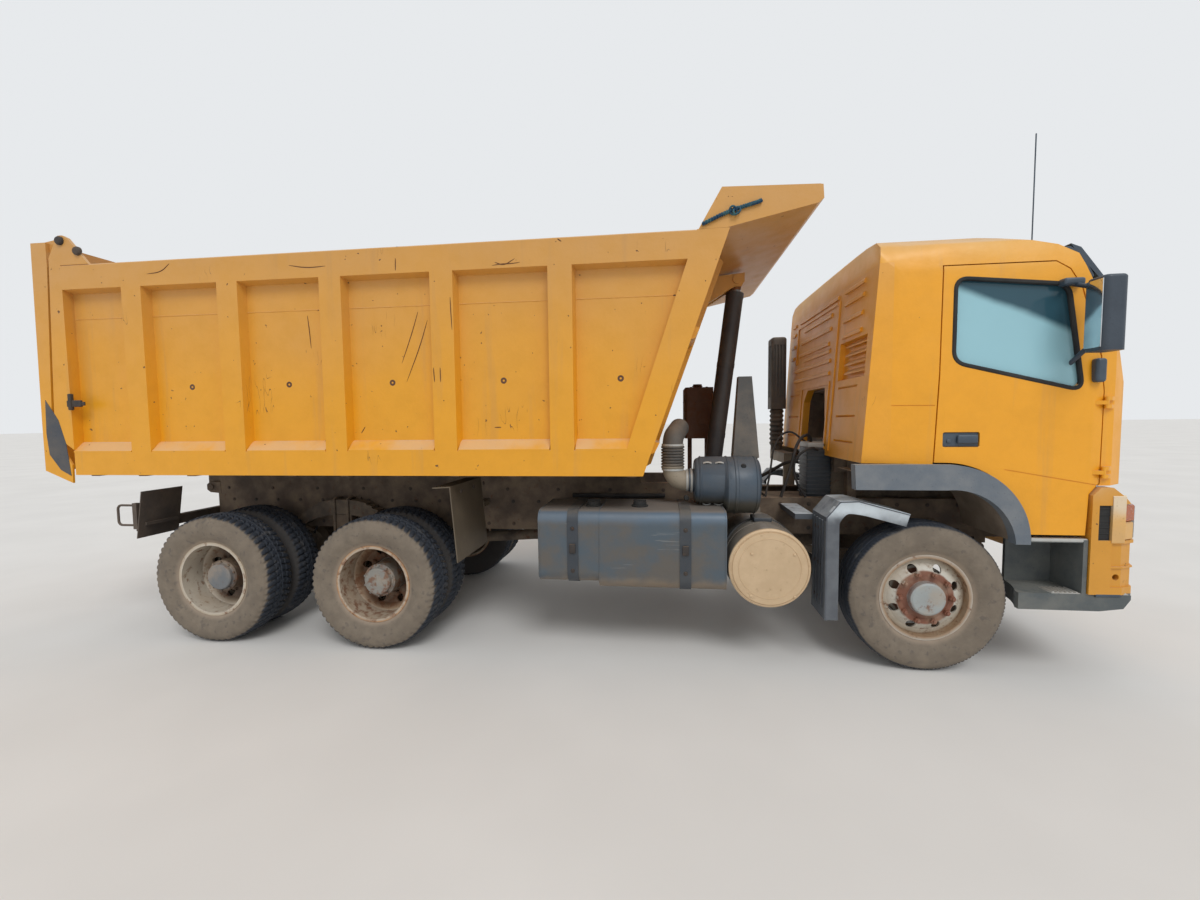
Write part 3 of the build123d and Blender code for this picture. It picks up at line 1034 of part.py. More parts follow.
def tank_straps():
    """Two brackets on the frame, each with a band round the tank."""
    straps = []
    for x in STRAP_X:
        low = TANK_Z[0] + (38 if x < TANK_X[0] + 400 else 0)
        gap = SEAT_GAP
        wall = 6
        ring = block((x, x + STRAP_WIDTH), (TANK_Y[0] - gap - wall, TANK_Y[1] + gap + wall),
                     (low - gap - wall, TANK_Z[1] + gap + wall))
        ring = fillet(ring.edges().filter_by(Axis.X), TANK_CORNER + gap + wall)
        hole = block((x - 1, x + STRAP_WIDTH + 1), (TANK_Y[0] - gap, TANK_Y[1] + gap), (low - gap, TANK_Z[1] + gap))
        hole = fillet(hole.edges().filter_by(Axis.X), TANK_CORNER + gap)
        bracket = block((x, x + STRAP_WIDTH), (TANK_Y[1] + gap + 1, -FRAME_HALF), (low + 100, RAIL_TOP - 40))
        straps.append(fused([ring - hole, bracket]))
    return straps


def muffler():
    """Round transverse muffler with a crimped end cap, hung from the frame."""
    drum = cross_rod(MUFFLER_X, MUFFLER_Z, MUFFLER_RADIUS, -1212, -520)
    drum = fillet(drum.edges().filter_by(GeomType.CIRCLE), 14)
    cap = cross_rod(MUFFLER_X, MUFFLER_Z, MUFFLER_RADIUS - 26, -1220, -1200)
    band = cross_rod(MUFFLER_X, MUFFLER_Z, MUFFLER_RADIUS + 4, -1000, -960)
    bracket = block((MUFFLER_X - 60, MUFFLER_X + 60), (-560, -FRAME_HALF), (MUFFLER_Z + 100, RAIL_TOP - 60))
    return fused([drum, cap, band, bracket])


def air_cleaner():
    """Round air filter housing on a bracket, with an inlet collar at its rear end."""
    x_low, x_high = AIR_CLEANER_X
    drum = rod((x_low, AIR_CLEANER_Y, AIR_CLEANER_Z), (x_high, AIR_CLEANER_Y, AIR_CLEANER_Z), AIR_CLEANER_RADIUS)
    drum = fillet(drum.edges().filter_by(GeomType.CIRCLE), 30)
    collar = rod((x_low - 40, AIR_CLEANER_Y, AIR_CLEANER_Z), (x_low, AIR_CLEANER_Y, AIR_CLEANER_Z), 88)
    bracket = block((4035, 4125), (AIR_CLEANER_Y, -FRAME_HALF), (RAIL_TOP - 45, RAIL_TOP + 60))
    return fused([drum, collar, bracket])


def air_ducts():
    """Corrugated elbow, tapered snorkel and the slatted intake stack with its bellows."""
    x_end = AIR_CLEANER_X[0] - 40 - SEAT_GAP
    y, z = AIR_CLEANER_Y, AIR_CLEANER_Z
    path = FilletPolyline((x_end, y, z), (x_end - 120, y, z), (x_end - 120, y, z + 330),
                          (x_end - 60, y + 230, z + 400), radius=95)
    elbow = sweep(Plane(origin=(x_end, y, z), z_dir=(-1, 0, 0)) * Circle(78), path=path)
    snorkel = loft([Plane(origin=(4210, y + 60, z + AIR_CLEANER_RADIUS + 12)) * Rectangle(190, 130),
                    Plane(origin=(4216, y + 140, 2075)) * Rectangle(100, 90)])
    foot = block((4115, 4305), (y - 5, y + 125), (z + 130, z + AIR_CLEANER_RADIUS + 13))
    drum = rod((3700, y, z), (4400, y, z), AIR_CLEANER_RADIUS + SEAT_GAP)
    snorkel = fused([snorkel, foot]) - drum
    stack = block((4762, 4925), (900, 1110), (1850, 2624))
    stack = fillet(stack.edges().filter_by(Axis.Z), 40)
    stack = fillet(stack.edges().group_by(Axis.Z)[-1], 30)
    for offset_along in (-48, -16, 16, 48):
        stack -= block((4843 + offset_along - 8, 4843 + offset_along + 8), (880, 914), (1980, 2540))
        stack -= block((4740, 4776), (1005 + offset_along - 8, 1005 + offset_along + 8), (1980, 2540))
    folds = []
    for index in range(8):
        fold_z = 1450 + index * 50
        folds.append(Pos(4843, 1005, fold_z) * Cone(62, 76, 25, align=(Align.CENTER, Align.CENTER, Align.MIN)))
        folds.append(Pos(4843, 1005, fold_z + 25) * Cone(76, 62, 25, align=(Align.CENTER, Align.CENTER, Align.MIN)))
    pipe = rod((4843, 1005, 1380), (4843, 1005, 1452), 60)
    duct = block((4790, 4896), (FRAME_HALF, 1060), (1300, 1400))
    post = block((4790, 4896), (FRAME_HALF, FRAME_HALF + 40), (RAIL_TOP - 100, 1310))
    tower = Pos(FRONT_SHIFT, 0, 0) * fused([stack, pipe, duct, post] + folds)
    return [elbow, snorkel, tower]


def battery_box():
    """Covered battery box on the left rail."""
    box = block((3300, 3950), (560, 1180), (560, 1060))
    box = fillet(box.edges().filter_by(Axis.X), 25)
    arms = [block((x, x + 60), (FRAME_HALF, 570), (830, 900)) for x in (3400, 3780)]
    step = block((3300, 3950), (1170, 1200), (540, 580))
    return fused([box, step] + arms)


def rear_lamp_board():
    """Cross tube behind the frame with a slanting lamp board and a guard loop at each end."""
    beam = block((-730, -668), (-1150, 1150), (880, 960))
    arms = both_sides(block((-668, FRAME_REAR), (FRAME_HALF - 340, FRAME_HALF - 110), (880, 960)))
    board = side_shape([(-600, 1217), (-608, 1217), (-672, 831), (-664, 831)], 850, 1200)
    tie = block((-700, -630), (880, 1150), (930, 955))
    lamp = block((-700, -660), (900, 1130), (960, 1060))
    loop = FilletPolyline((-720, 1150, 1095), (-890, 1150, 1095), (-890, 1150, 930), (-720, 1150, 930), radius=35)
    bar = sweep(Plane(origin=(-720, 1150, 1095), z_dir=(-1, 0, 0)) * Circle(9), path=loop)
    post = block((-739, -700), (1135, 1165), (900, 1115))
    side = [board, tie, lamp, post, bar]
    shapes = [beam] + arms
    for shape in side:
        shapes += both_sides(shape)
    return fused(shapes)


def hydraulic_tank():
    """Rusty oil tank on a stand behind the cab, left of the hoist."""
    tank = block((3810, 4080), (240, 800), (1560, 2060))
    tank = fillet(tank.edges().filter_by(Axis.Z), 30)
    tank = fused([tank, rod((3945, 520, 2050), (3945, 520, 2105), 45)])
    stand = [block((x, x + 40), (FRAME_HALF - 60, FRAME_HALF), (SUBFRAME_TOP, 1570)) for x in (3840, 4010)]
    return fused([tank] + stand)


os.makedirs("parts", exist_ok=True)

front_pieces = {
    "front_bumper": [front_bumper()],
    "cab_steps": [cab_step(side) for _, side in SIDES],
    "wheel_arch_trims": both_sides(wheel_arch_trim()),
    "seats": seats(),
    "dashboard": [dashboard()],
    "steering_wheel": [steering_wheel()],
    "sun_visor": [sun_visor()],
    "antenna": [antenna()],
    "mirror_right": [mirror_unit(-1)],
    "mirror_left": [mirror_unit(1)],
}
front_pieces.update({name: [shape] for name, shape in cab_pieces().items()})
nodes = {
    "ladder_frame": [ladder_frame()],
    "subframe": [subframe()],
    "front_axle": [front_axle()],
    "leaf_springs": leaf_springs(),
    "rear_axles": [rear_axles()],
    "engine_block": [engine_block()],
    "fuel_tank": [fuel_tank()],
    "tank_straps": tank_straps(),
    "muffler": [muffler()],
    "air_cleaner": [air_cleaner()],
    "air_ducts": air_ducts(),
    "battery_box": [battery_box()],
    "mudguards": mudguards(),
    "rear_lamp_board": [rear_lamp_board()],
    "hydraulic_tank": [hydraulic_tank()],
    "bed_floor": [bed_floor()],
    "bed_sides": both_sides(bed_side()),
    "bed_headboard": [bed_headboard()],
    "bed_canopy": [bed_canopy()],
    "bed_underframe": [bed_underframe()],
    "tailgate": [tailgate()],
}
nodes.update({name: [Pos(FRONT_SHIFT, 0, 0) * shape for shape in shapes] for name, shapes in front_pieces.items()})
nodes.update(zip(("hoist_tube", "hoist_stage_1", "hoist_stage_2", "hoist_stage_3"),
                 [[piece] for piece in hoist()]))

left_front_rim = front_rim()
left_rear_rims = rear_rims()
left_knuckle = knuckle()
for name, side in SIDES:
    def on_side(shape):
        return shape if side > 0 else mirror(shape, about=Plane.XZ)

    at_front = Pos(FRONT_AXLE_X, 0, AXLE_Z)
    nodes[f"knuckle_{name}"] = [at_front * on_side(left_knuckle)]
    nodes[f"front_{name}_tyre"] = [at_front * tyre(side * FRONT_WHEEL_Y)]
    nodes[f"front_{name}_rim"] = [at_front * on_side(left_front_rim)]
    for axle, x in zip(("second", "first"), REAR_AXLES_X):
        at_rear = Pos(x, 0, AXLE_Z)
        nodes[f"{axle}_{name}_tyres"] = [at_rear * tyre(side * y) for y in (TWIN_OUTER_Y, TWIN_INNER_Y)]
        nodes[f"{axle}_{name}_rims"] = [at_rear * on_side(left_rear_rims)]

for name, shapes in nodes.items():
    write(name, shapes)
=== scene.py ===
"""The finish of a three-axle dump truck: paint, rubber, glass, rust and dust, with its small fittings."""
import math

import bmesh
import bpy
import numpy as np
from mathutils import Matrix, Vector


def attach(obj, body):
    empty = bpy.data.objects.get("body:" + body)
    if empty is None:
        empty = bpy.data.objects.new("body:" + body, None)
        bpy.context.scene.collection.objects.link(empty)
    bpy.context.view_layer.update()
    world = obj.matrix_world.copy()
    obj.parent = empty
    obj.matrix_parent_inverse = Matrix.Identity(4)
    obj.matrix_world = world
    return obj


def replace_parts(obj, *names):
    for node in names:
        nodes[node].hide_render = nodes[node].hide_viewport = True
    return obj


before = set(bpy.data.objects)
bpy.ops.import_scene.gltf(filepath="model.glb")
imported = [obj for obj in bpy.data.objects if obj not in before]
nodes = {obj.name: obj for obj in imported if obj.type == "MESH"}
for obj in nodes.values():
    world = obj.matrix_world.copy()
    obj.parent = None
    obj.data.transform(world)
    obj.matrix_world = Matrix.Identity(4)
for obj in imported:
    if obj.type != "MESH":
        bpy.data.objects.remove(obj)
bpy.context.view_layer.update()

# Camera
# A wide lens at eye height, close to the truck's right side, turned a little towards its rear.

CAMERA_PLACE = (0.92, -4.717, 1.757)
CAMERA_YAW, CAMERA_PITCH, CAMERA_ROLL = (math.radians(a) for a in (-6.98, -3.51, 0.66))
CAMERA_LENS = 14.931
forward = Vector((math.sin(CAMERA_YAW) * math.cos(CAMERA_PITCH), math.cos(CAMERA_YAW) * math.cos(CAMERA_PITCH),
                  math.sin(CAMERA_PITCH)))
level = Vector((math.cos(CAMERA_YAW), -math.sin(CAMERA_YAW), 0))
below = forward.cross(level)
across = math.cos(CAMERA_ROLL) * level + math.sin(CAMERA_ROLL) * below
down = math.cos(CAMERA_ROLL) * below - math.sin(CAMERA_ROLL) * level
camera = bpy.data.objects.new("camera", bpy.data.cameras.new("camera"))
bpy.context.scene.collection.objects.link(camera)
camera.data.lens = CAMERA_LENS
camera.data.sensor_width = 36
camera.data.clip_end = 400
camera.matrix_world = Matrix.Translation(CAMERA_PLACE) @ Matrix((across, -down, -forward)).transposed().to_4x4()
bpy.context.scene.camera = camera
bpy.context.scene.view_settings.view_transform = "Standard"


# Floor and light
# A pale studio floor out to the horizon, an even pale sky and one broad soft lamp high in front of the truck.

class Shade:
    """One socket of a material's nodes: arithmetic on it adds Math nodes, and node() adds any other node."""

    def __init__(self, tree, socket):
        self.tree = tree
        self.socket = socket

    def node(self, kind, settings, links, output=0):
        """Add a node: first its settings, or a ramp's stops, then the values or links of its sockets."""
        made = self.tree.nodes.new(kind)
        for name, value in settings.items():
            if name == "stops":
                for stop, (place, colour) in zip((*made.color_ramp.elements, *(
                        made.color_ramp.elements.new(1.0) for _ in value[2:])), value):
                    stop.position = place
                    stop.color = (*colour, 1)
            else:
                setattr(made, name, value)
        for name, value in links.items():
            if isinstance(value, Shade):
                self.tree.links.new(value.socket, made.inputs[name])
            else:
                made.inputs[name].default_value = value
        return Shade(self.tree, made.outputs[output])

    def math(self, operation, *values):
        """Math node on this value and any others."""
        return self.node("ShaderNodeMath", {"operation": operation}, dict(enumerate((self, *values))))

    def __add__(self, other):
        return self.math("ADD", other)

    def __sub__(self, other):
        return self.math("SUBTRACT", other)

    def __rsub__(self, other):
        return self.math("MULTIPLY_ADD", -1.0, other)

    def __mul__(self, other):
        return self.math("MULTIPLY", other)

    def __truediv__(self, other):
        return self.math("DIVIDE", other)

    __radd__ = __add__

    def ease(self, low, high):
        """0 below low, 1 above high and smooth between; low may be the larger."""
        return self.node("ShaderNodeMapRange", {"interpolation_type": "SMOOTHSTEP"},
                         {"Value": self, "From Min": low, "From Max": high})

    def tint(self, first, second):
        """Colour that goes from first to second as this value goes from 0 to 1."""
        links = {0: self, 6: first if isinstance(first, Shade) else (*first, 1),
                 7: second if isinstance(second, Shade) else (*second, 1)}
        return self.node("ShaderNodeMix", {"data_type": "RGBA"}, links, output=2)

    def stretched(self, scale, centre=(0, 0, 0)):
        """These coordinates measured from a centre and multiplied by a scale for each axis."""
        moved = self.node("ShaderNodeVectorMath", {"operation": "SUBTRACT"}, {0: self, 1: centre})
        return moved.node("ShaderNodeVectorMath", {"operation": "MULTIPLY"}, {0: moved, 1: scale})

    def noise(self, scale, detail=3.0, rough=0.55):
        """Cloudy value from 0 to 1 about 0.5 at these coordinates."""
        return self.node("ShaderNodeTexNoise", {}, {"Vector": self, "Scale": scale, "Detail": detail,
                                                    "Roughness": rough})

    def axis(self, name):
        """One of X, Y and Z of these coordinates."""
        return self.node("ShaderNodeSeparateXYZ", {}, {0: self}, output="XYZ".index(name))


def start_material(name):
    """New material, its main shader, and its Object coordinates and Object normal."""
    material = bpy.data.materials.new(name)
    material.use_nodes = True
    tree = material.node_tree
    place = tree.nodes.new("ShaderNodeTexCoord")
    return (material, tree.nodes["Principled BSDF"], Shade(tree, place.outputs["Object"]),
            Shade(tree, place.outputs["Normal"]))


def feed(shader, **values):
    """Set or link the main shader's sockets, named with underscores for spaces."""
    for name, value in values.items():
        socket = shader.inputs[name.replace("_", " ")]
        if isinstance(value, Shade):
            value.tree.links.new(value.socket, socket)
        else:
            socket.default_value = (*value, 1) if isinstance(value, tuple) and len(value) == 3 else value


def bump(height, distance):
    """Normal for a height in units of distance."""
    return height.node("ShaderNodeBump", {}, {"Distance": distance, "Height": height})


WELD_BELOW = 30000
SHARP_FROM = math.radians(42)


def add_mesh(name, vertices, faces, material, body, smooth=False):
    """Mesh object from places and faces, arrays or lists, riding on a body."""
    vertices = np.asarray(vertices, float).reshape(-1, 3)
    mesh = bpy.data.meshes.new(name)
    mesh.from_pydata(vertices.tolist(), [], faces.tolist() if isinstance(faces, np.ndarray) else faces)
    mesh.validate()
    if len(vertices) < WELD_BELOW:
        shell = bmesh.new()
        shell.from_mesh(mesh)
        bmesh.ops.remove_doubles(shell, verts=shell.verts, dist=1e-6)
        bmesh.ops.recalc_face_normals(shell, faces=shell.faces)
        shell.to_mesh(mesh)
        shell.free()
    mesh.polygons.foreach_set("use_smooth", np.full(len(mesh.polygons), smooth))
    if smooth:
        mesh.set_sharp_from_angle(angle=SHARP_FROM)
    mesh.materials.append(material)
    made = bpy.data.objects.new(name, mesh)
    bpy.context.scene.collection.objects.link(made)
    if body:
        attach(made, body)
    return made


def dress(names, material):
    """Give CAD nodes a finished material."""
    for name in names:
        mesh = nodes[name].data
        mesh.materials.clear()
        mesh.materials.append(material)


def soften(names, limit):
    """Show CAD panels smooth across edges blunter than a limit in degrees.

    A modifier merges the doubled corners and marks the sharper edges; another weighs the normals by face area."""
    group = bpy.data.node_groups.new("soft_edges", "GeometryNodeTree")
    group.interface.new_socket("Geometry", in_out="INPUT", socket_type="NodeSocketGeometry")
    group.interface.new_socket("Geometry", in_out="OUTPUT", socket_type="NodeSocketGeometry")
    kinds = ("NodeGroupInput", "GeometryNodeMergeByDistance", "GeometryNodeInputMeshEdgeAngle",
             "FunctionNodeCompare", "GeometryNodeSetShadeSmooth", "GeometryNodeSetShadeSmooth", "NodeGroupOutput")
    start, merge, angle, blunt, faces, edges, end = (group.nodes.new(kind) for kind in kinds)
    merge.inputs["Distance"].default_value = 2e-5
    blunt.operation = "LESS_THAN"
    blunt.inputs["B"].default_value = math.radians(limit)
    edges.domain = "EDGE"
    for giver, taker, socket in ((start, merge, "Geometry"), (merge, faces, "Geometry"), (faces, edges, "Geometry"),
                                 (angle, blunt, "A"), (blunt, edges, "Shade Smooth"), (edges, end, 0)):
        group.links.new(giver.outputs[0], taker.inputs[socket])
    for name in names:
        nodes[name].modifiers.new("soft_edges", "NODES").node_group = group
        nodes[name].modifiers.new("weighed_normals", "WEIGHTED_NORMAL").keep_sharp = True


FLOOR_REACH = 150
floor_material, shader, place, _ = start_material("studio_floor")
feed(shader, Base_Color=place.noise(0.6).ease(0.3, 0.7).tint((0.7, 0.69, 0.67), (0.74, 0.73, 0.71)),
     Roughness=0.85)
corners = np.array([(-1, -1, 0), (1, -1, 0), (1, 1, 0), (-1, 1, 0)]) * FLOOR_REACH
add_mesh("floor", corners, [(0, 1, 2, 3)], floor_material, None)

SKY_LIGHT = 0.69
SKY_SEEN = (0.8, 0.82, 0.84)
world = bpy.data.worlds.new("studio")
bpy.context.scene.world = world
world.use_nodes = True
backdrop = world.node_tree.nodes["Background"]
rays = world.node_tree.nodes.new("ShaderNodeLightPath")
seen, mirrored_sky = (Shade(world.node_tree, rays.outputs[name]) for name in ("Is Camera Ray", "Is Glossy Ray"))
seen = seen.math("MAXIMUM", mirrored_sky)
feed(backdrop, Color=seen.tint((1, 1, 1), SKY_SEEN), Strength=seen * (1 - SKY_LIGHT) + SKY_LIGHT)

LAMP_STRENGTH = 1.2
LAMP_FROM = Vector((0.45, -1.0, 1.25))
lamp = bpy.data.objects.new("broad_lamp", bpy.data.lights.new("broad_lamp", "SUN"))
lamp.data.energy = LAMP_STRENGTH
lamp.data.angle = math.radians(25)
lamp.matrix_world = LAMP_FROM.to_track_quat("Z", "Y").to_matrix().to_4x4()
bpy.context.scene.collection.objects.link(lamp)


# Bed
# Welded steel body with pressed ribs, sprayed orange-yellow, paler towards the top with dust and a painted sunlit
# sheen, and chipped.

def worn_paint(name, clean, paler_tone, paler_span, chips):
    """Sprayed steel: fresh colour going to a paler one up a span of heights (on the bed, dust with a painted sunlit
    sheen), specks of rust, thin scratches, dust on what faces up, and a surface that is a little wavy."""
    material, shader, place, normal = start_material(name)
    cloud = place.noise(1.1, 4)
    # paler towards the top: dust, and on the bed a painted sunlit sheen
    paler_upwards = (place.axis("Z") + cloud * 0.9 - 0.45).ease(*paler_span)
    colour = paler_upwards.tint(clean, paler_tone)
    mottle = place.noise(7.0, 5, 0.65).ease(0.35, 0.75)
    colour = (mottle * 0.22).tint(colour, tuple(c * 0.72 for c in clean))
    streak = place.stretched((9.0, 9.0, 0.7)).noise(1.0, 4).ease(0.56, 0.72)
    colour = (streak * 0.2).tint(colour, (0.42, 0.24, 0.1))
    dust = normal.axis("Z").ease(0.3, 0.9) * place.noise(3.0, 4).ease(0.25, 0.6)
    colour = (dust * 0.75).tint(colour, (0.66, 0.47, 0.3))
    pits = place.noise(26.0, 2, 0.5).ease(0.8 - 0.06 * chips, 0.83 - 0.06 * chips)
    thin = place.stretched((14.0, 14.0, 3.0)).noise(1.0, 1.5).math("SUBTRACT", 0.5).math("ABSOLUTE")
    scratch = thin.ease(0.004, 0.0015) * place.noise(2.3, 2).ease(0.64, 0.7) * min(chips, 1.0)
    bare = pits.math("MAXIMUM", scratch)
    colour = (bare * 0.9).tint(colour, (0.12, 0.055, 0.03))
    wave = place.noise(1.6, 2) * 6.0 + place.noise(38.0, 2) * 0.25 - bare * 0.6
    feed(shader, Base_Color=colour, Roughness=0.42 + dust * 0.4 + bare * 0.35 + mottle * 0.12,
         Normal=bump(wave, 0.004), Coat_Weight=0.12, Coat_Roughness=0.25)
    return material


# the bed's paler tan towards the top is dust with a painted sunlit sheen
bed_paint = worn_paint("bed_paint", (0.78, 0.35, 0.012), (0.6, 0.31, 0.085), (1.7, 3.3), chips=1.0)
dress(("bed_sides", "bed_canopy", "bed_headboard", "tailgate"), bed_paint)
floor_paint = worn_paint("bed_floor_paint", (0.3, 0.21, 0.13), (0.36, 0.26, 0.17), (1.4, 1.5), chips=3.0)
dress(("bed_floor",), floor_paint)


def weathered(name, base, dusty, cloud_amount, rust, rough, other=None):
    """Old steel or plastic: its own tone clouded with dust, more dust where it faces up (on the mudguards a painted
    sunlit top instead), blooms of rust, pitting.

    Another tone may take over along an axis: (axis, from, to, tone)."""
    material, shader, place, normal = start_material(name)
    cloud = place.noise(4.5, 5, 0.62).ease(0.32, 0.7)
    colour = (cloud * cloud_amount).tint(base, dusty)
    # on the mudguards this up-facing tone is a painted sunlit top rather than dust
    settled = normal.axis("Z").ease(0.35, 0.95) * place.noise(9.0, 4).ease(0.2, 0.55)
    colour = (settled * 0.85).tint(colour, dusty)
    if other:
        axis, start, end, tone = other
        there = (place.axis(axis) + (place.noise(7.0, 3) - 0.5) * abs(end - start)).ease(start, end)
        colour = there.tint(colour, (cloud * 0.45).tint(tone, tuple(0.6 * c for c in tone)))
    bloom = place.noise(15.0, 6, 0.7).ease(0.72 - 0.26 * rust, 0.8 - 0.2 * rust)
    colour = (bloom * (0.9 if rust else 0.0)).tint(colour, (0.13, 0.055, 0.028))
    fleck = place.noise(70.0, 2).ease(0.66, 0.7)
    colour = (fleck * 0.35).tint(colour, tuple(0.5 * c for c in base))
    feed(shader, Base_Color=colour, Roughness=rough + settled * 0.2 + bloom * 0.1,
         Normal=bump(place.noise(45.0, 4) + bloom * 0.8, 0.0012))
    return material


def quads(rows, columns, open_rows=1, open_columns=0):
    """Corner numbers of the quads of a grid of places; a way that isn't open closes on itself."""
    a, b = np.meshgrid(np.arange(rows - open_rows), np.arange(columns - open_columns), indexing="ij")
    c, d = (a + 1) % rows, (b + 1) % columns
    return np.stack((a * columns + b, c * columns + b, c * columns + d, a * columns + d), -1).reshape(-1, 4)


def xyz(x, y, z):
    """Places or directions from three coordinates, each a number or an array."""
    return np.stack(np.broadcast_arrays(x, y, z), -1)


def unit(vectors):
    """Rows of vectors brought to length 1."""
    return vectors / np.linalg.norm(vectors, axis=1)[:, None]


def turned(profile, steps):
    """Solid of revolution about y from (radius, y) pairs that start and end on the axis: places and quads.

    A corner at radius r and angle a stands at (r cos a, y, r sin a)."""
    profile = np.asarray(profile, float)
    angle = np.arange(steps) * 2 * math.pi / steps
    radius, y = profile[1:-1, 0], profile[1:-1, 1]
    ring = xyz(radius[:, None] * np.cos(angle), y[:, None], radius[:, None] * np.sin(angle))
    last = (len(radius) - 1) * steps
    places = np.concatenate((ring.reshape(-1, 3), [(0, profile[0, 1], 0), (0, profile[-1, 1], 0)]))
    n = np.arange(steps)
    m = (n + 1) % steps
    floor_fan = np.stack((n * 0 + last + steps, n, m, m), -1)
    roof_fan = np.stack((n * 0 + last + steps + 1, last + m, last + n, last + n), -1)
    faces = np.concatenate((quads(len(radius), steps), floor_fan, roof_fan)).tolist()
    return places, [tuple(dict.fromkeys(face)) for face in faces]


def joined(solids):
    """Several (places, faces) as one."""
    places, faces, count = [], [], 0
    for more_places, more_faces in solids:
        places.append(np.asarray(more_places))
        faces += [tuple(corner + count for corner in face) for face in more_faces]
        count += len(more_places)
    return np.concatenate(places), faces


def placed(solid, where, side=1):
    """A solid moved to a place; side -1 turns it half round z so that it points along -y."""
    places, faces = solid
    turn = np.array((side, side, 1))
    return places * turn + np.asarray(where), faces


def on_side(side, solids):
    """Solids of the right side as they are, or mirrored for the left, their faces turned to point outwards again."""
    if side == "right":
        return solids
    return [(np.asarray(places) * (1, -1, 1), [tuple(face)[::-1] for face in faces]) for places, faces in solids]


def both(solids):
    """Solids of the right side, then the same on the left."""
    return solids + on_side("left", solids)


def swept(points, first, second, section, closed=False):
    """Solid along a path: round each point stands the section's loop of (a, b) pairs, a along first and b along
    second; a closed path has no end faces."""
    points = np.asarray(points, float)
    first, second = (np.broadcast_to(np.asarray(axis, float), points.shape)[:, None] for axis in (first, second))
    section = np.asarray(section, float)
    places = points[:, None] + section[..., :1] * first + section[..., 1:] * second
    rows, sides = places.shape[:2]
    walls = quads(rows, sides, 0 if closed else 1)[:, [0, 3, 2, 1]].tolist()
    ends = [] if closed else [list(range(sides)), list(range((rows - 1) * sides, rows * sides))]
    return places.reshape(-1, 3), walls + ends


def tube_along(points, radius, sides=10, closed=False):
    """Round bar along a path: each ring stands across the path's direction, its first axis square to the world
    axis that the path runs along least; the radius is one number or one for each point."""
    points = np.asarray(points, float)
    ahead = np.roll(points, -1, 0) - np.roll(points, 1, 0) if closed else np.gradient(points, axis=0)
    ahead = unit(ahead)
    first = unit(np.cross(ahead, np.eye(3)[np.argmin(np.abs(ahead).max(axis=0))]))
    angle = np.arange(sides) * 2 * math.pi / sides
    radius = np.broadcast_to(np.asarray(radius, float), len(points))[:, None, None]
    return swept(points, first, np.cross(ahead, first), radius * np.stack((np.cos(angle), np.sin(angle)), -1), closed)


def smooth_path(points, rounds=3):
    """Path whose corners are cut again and again, a quarter from each end of a leg, with its ends kept."""
    points = np.asarray(points, float)
    for _ in range(rounds):
        legs = np.stack((0.75 * points[:-1] + 0.25 * points[1:], 0.25 * points[:-1] + 0.75 * points[1:]), 1)
        points = np.concatenate((points[:1], legs.reshape(-1, 3), points[-1:]))
    return points


def fitting(name, solids, material, body="chassis", smooth=True):
    """One piece made of several solids, with a material, riding on a body."""
    piece = add_mesh(name, *joined(solids), material, body, smooth)
    return piece


def rounded_block(low, high, radius, steps=3):
    """Block with rounded edges: a ball's skin pulled apart to the block's corners, so a place is the corner of the
    inner block plus the radius times the ball's direction."""
    low, high = np.asarray(low, float), np.asarray(high, float)
    quarter = np.linspace(0, math.pi / 2, steps + 1)
    turn = (np.arange(4)[:, None] * math.pi / 2 + quarter).ravel()
    rise = np.concatenate((quarter - math.pi / 2, quarter))[:, None]
    signs = np.repeat([(1, 1), (-1, 1), (-1, -1), (1, -1)], steps + 1, axis=0)
    corner = xyz(signs[:, 0], signs[:, 1], np.repeat((-1, 1), steps + 1)[:, None])
    direction = xyz(np.cos(rise) * np.cos(turn), np.cos(rise) * np.sin(turn), np.sin(rise))
    places = (low + high) / 2 + corner * ((high - low) / 2 - radius) + radius * direction
    rows, columns = places.shape[:2]
    last = (rows - 1) * columns
    ends = [list(range(columns))[::-1], list(range(last, last + columns))]
    return places.reshape(-1, 3), quads(rows, columns)[:, [0, 3, 2, 1]].tolist() + ends


old_iron = weathered("old_iron", (0.035, 0.03, 0.028), (0.14, 0.1, 0.07), 0.5, 0.5, 0.75)
BAYS = ((-3.779, -3.264), (-3.064, -2.439), (-2.239, -1.599), (-1.399, -0.739), (-0.539, 0.126), (0.326, 1.02))
PANEL_Y = 1.175
SEAM_Z = 2.61
seams = []
for rear, front in BAYS:
    along = np.linspace(rear, front, 90)
    ripple = 0.0035 + 0.0007 * np.sin(along * 900)
    seams.append(tube_along(xyz(along, -PANEL_Y, SEAM_Z), ripple, 6))
fitting("bed_weld_seams", both(seams), bed_paint, "bed")

PLUG_MARKS = ((-3.306, 2.023), (-2.756, 2.05), (-1.92, 2.053), (-1.075, 2.05), (-0.215, 2.048), (0.64, 2.046))
PLUG = turned(((0, -0.002), (0.024, -0.002), (0.022, 0.0015), (0.012, 0.0028), (0.006, -0.001), (0, -0.001)), 18)
plugs = [placed(PLUG, (x, -PANEL_Y, z), -1) for x, z in PLUG_MARKS]
rusty_steel = weathered("rusty_steel", (0.105, 0.048, 0.03), (0.17, 0.105, 0.07), 0.5, 0.9, 0.85)
fitting("bed_plug_marks", both(plugs), rusty_steel, "bed")

LEDGE_FRONT, LEDGE_OVERLAP = 0.697, 0.006
LEDGE = ((-1.174, 1.545), (-1.2496, 1.5405), (-1.2496, 1.55), (-1.19, 1.612), (-1.174, 1.62))
ledges = [swept([(rear - LEDGE_OVERLAP, 0, 0), (min(front, LEDGE_FRONT) + LEDGE_OVERLAP, 0, 0)],
                (0, 1, 0), (0, 0, 1), LEDGE) for rear, front in BAYS]
fitting("bed_sill_ledges", both(ledges), bed_paint, "bed", False)

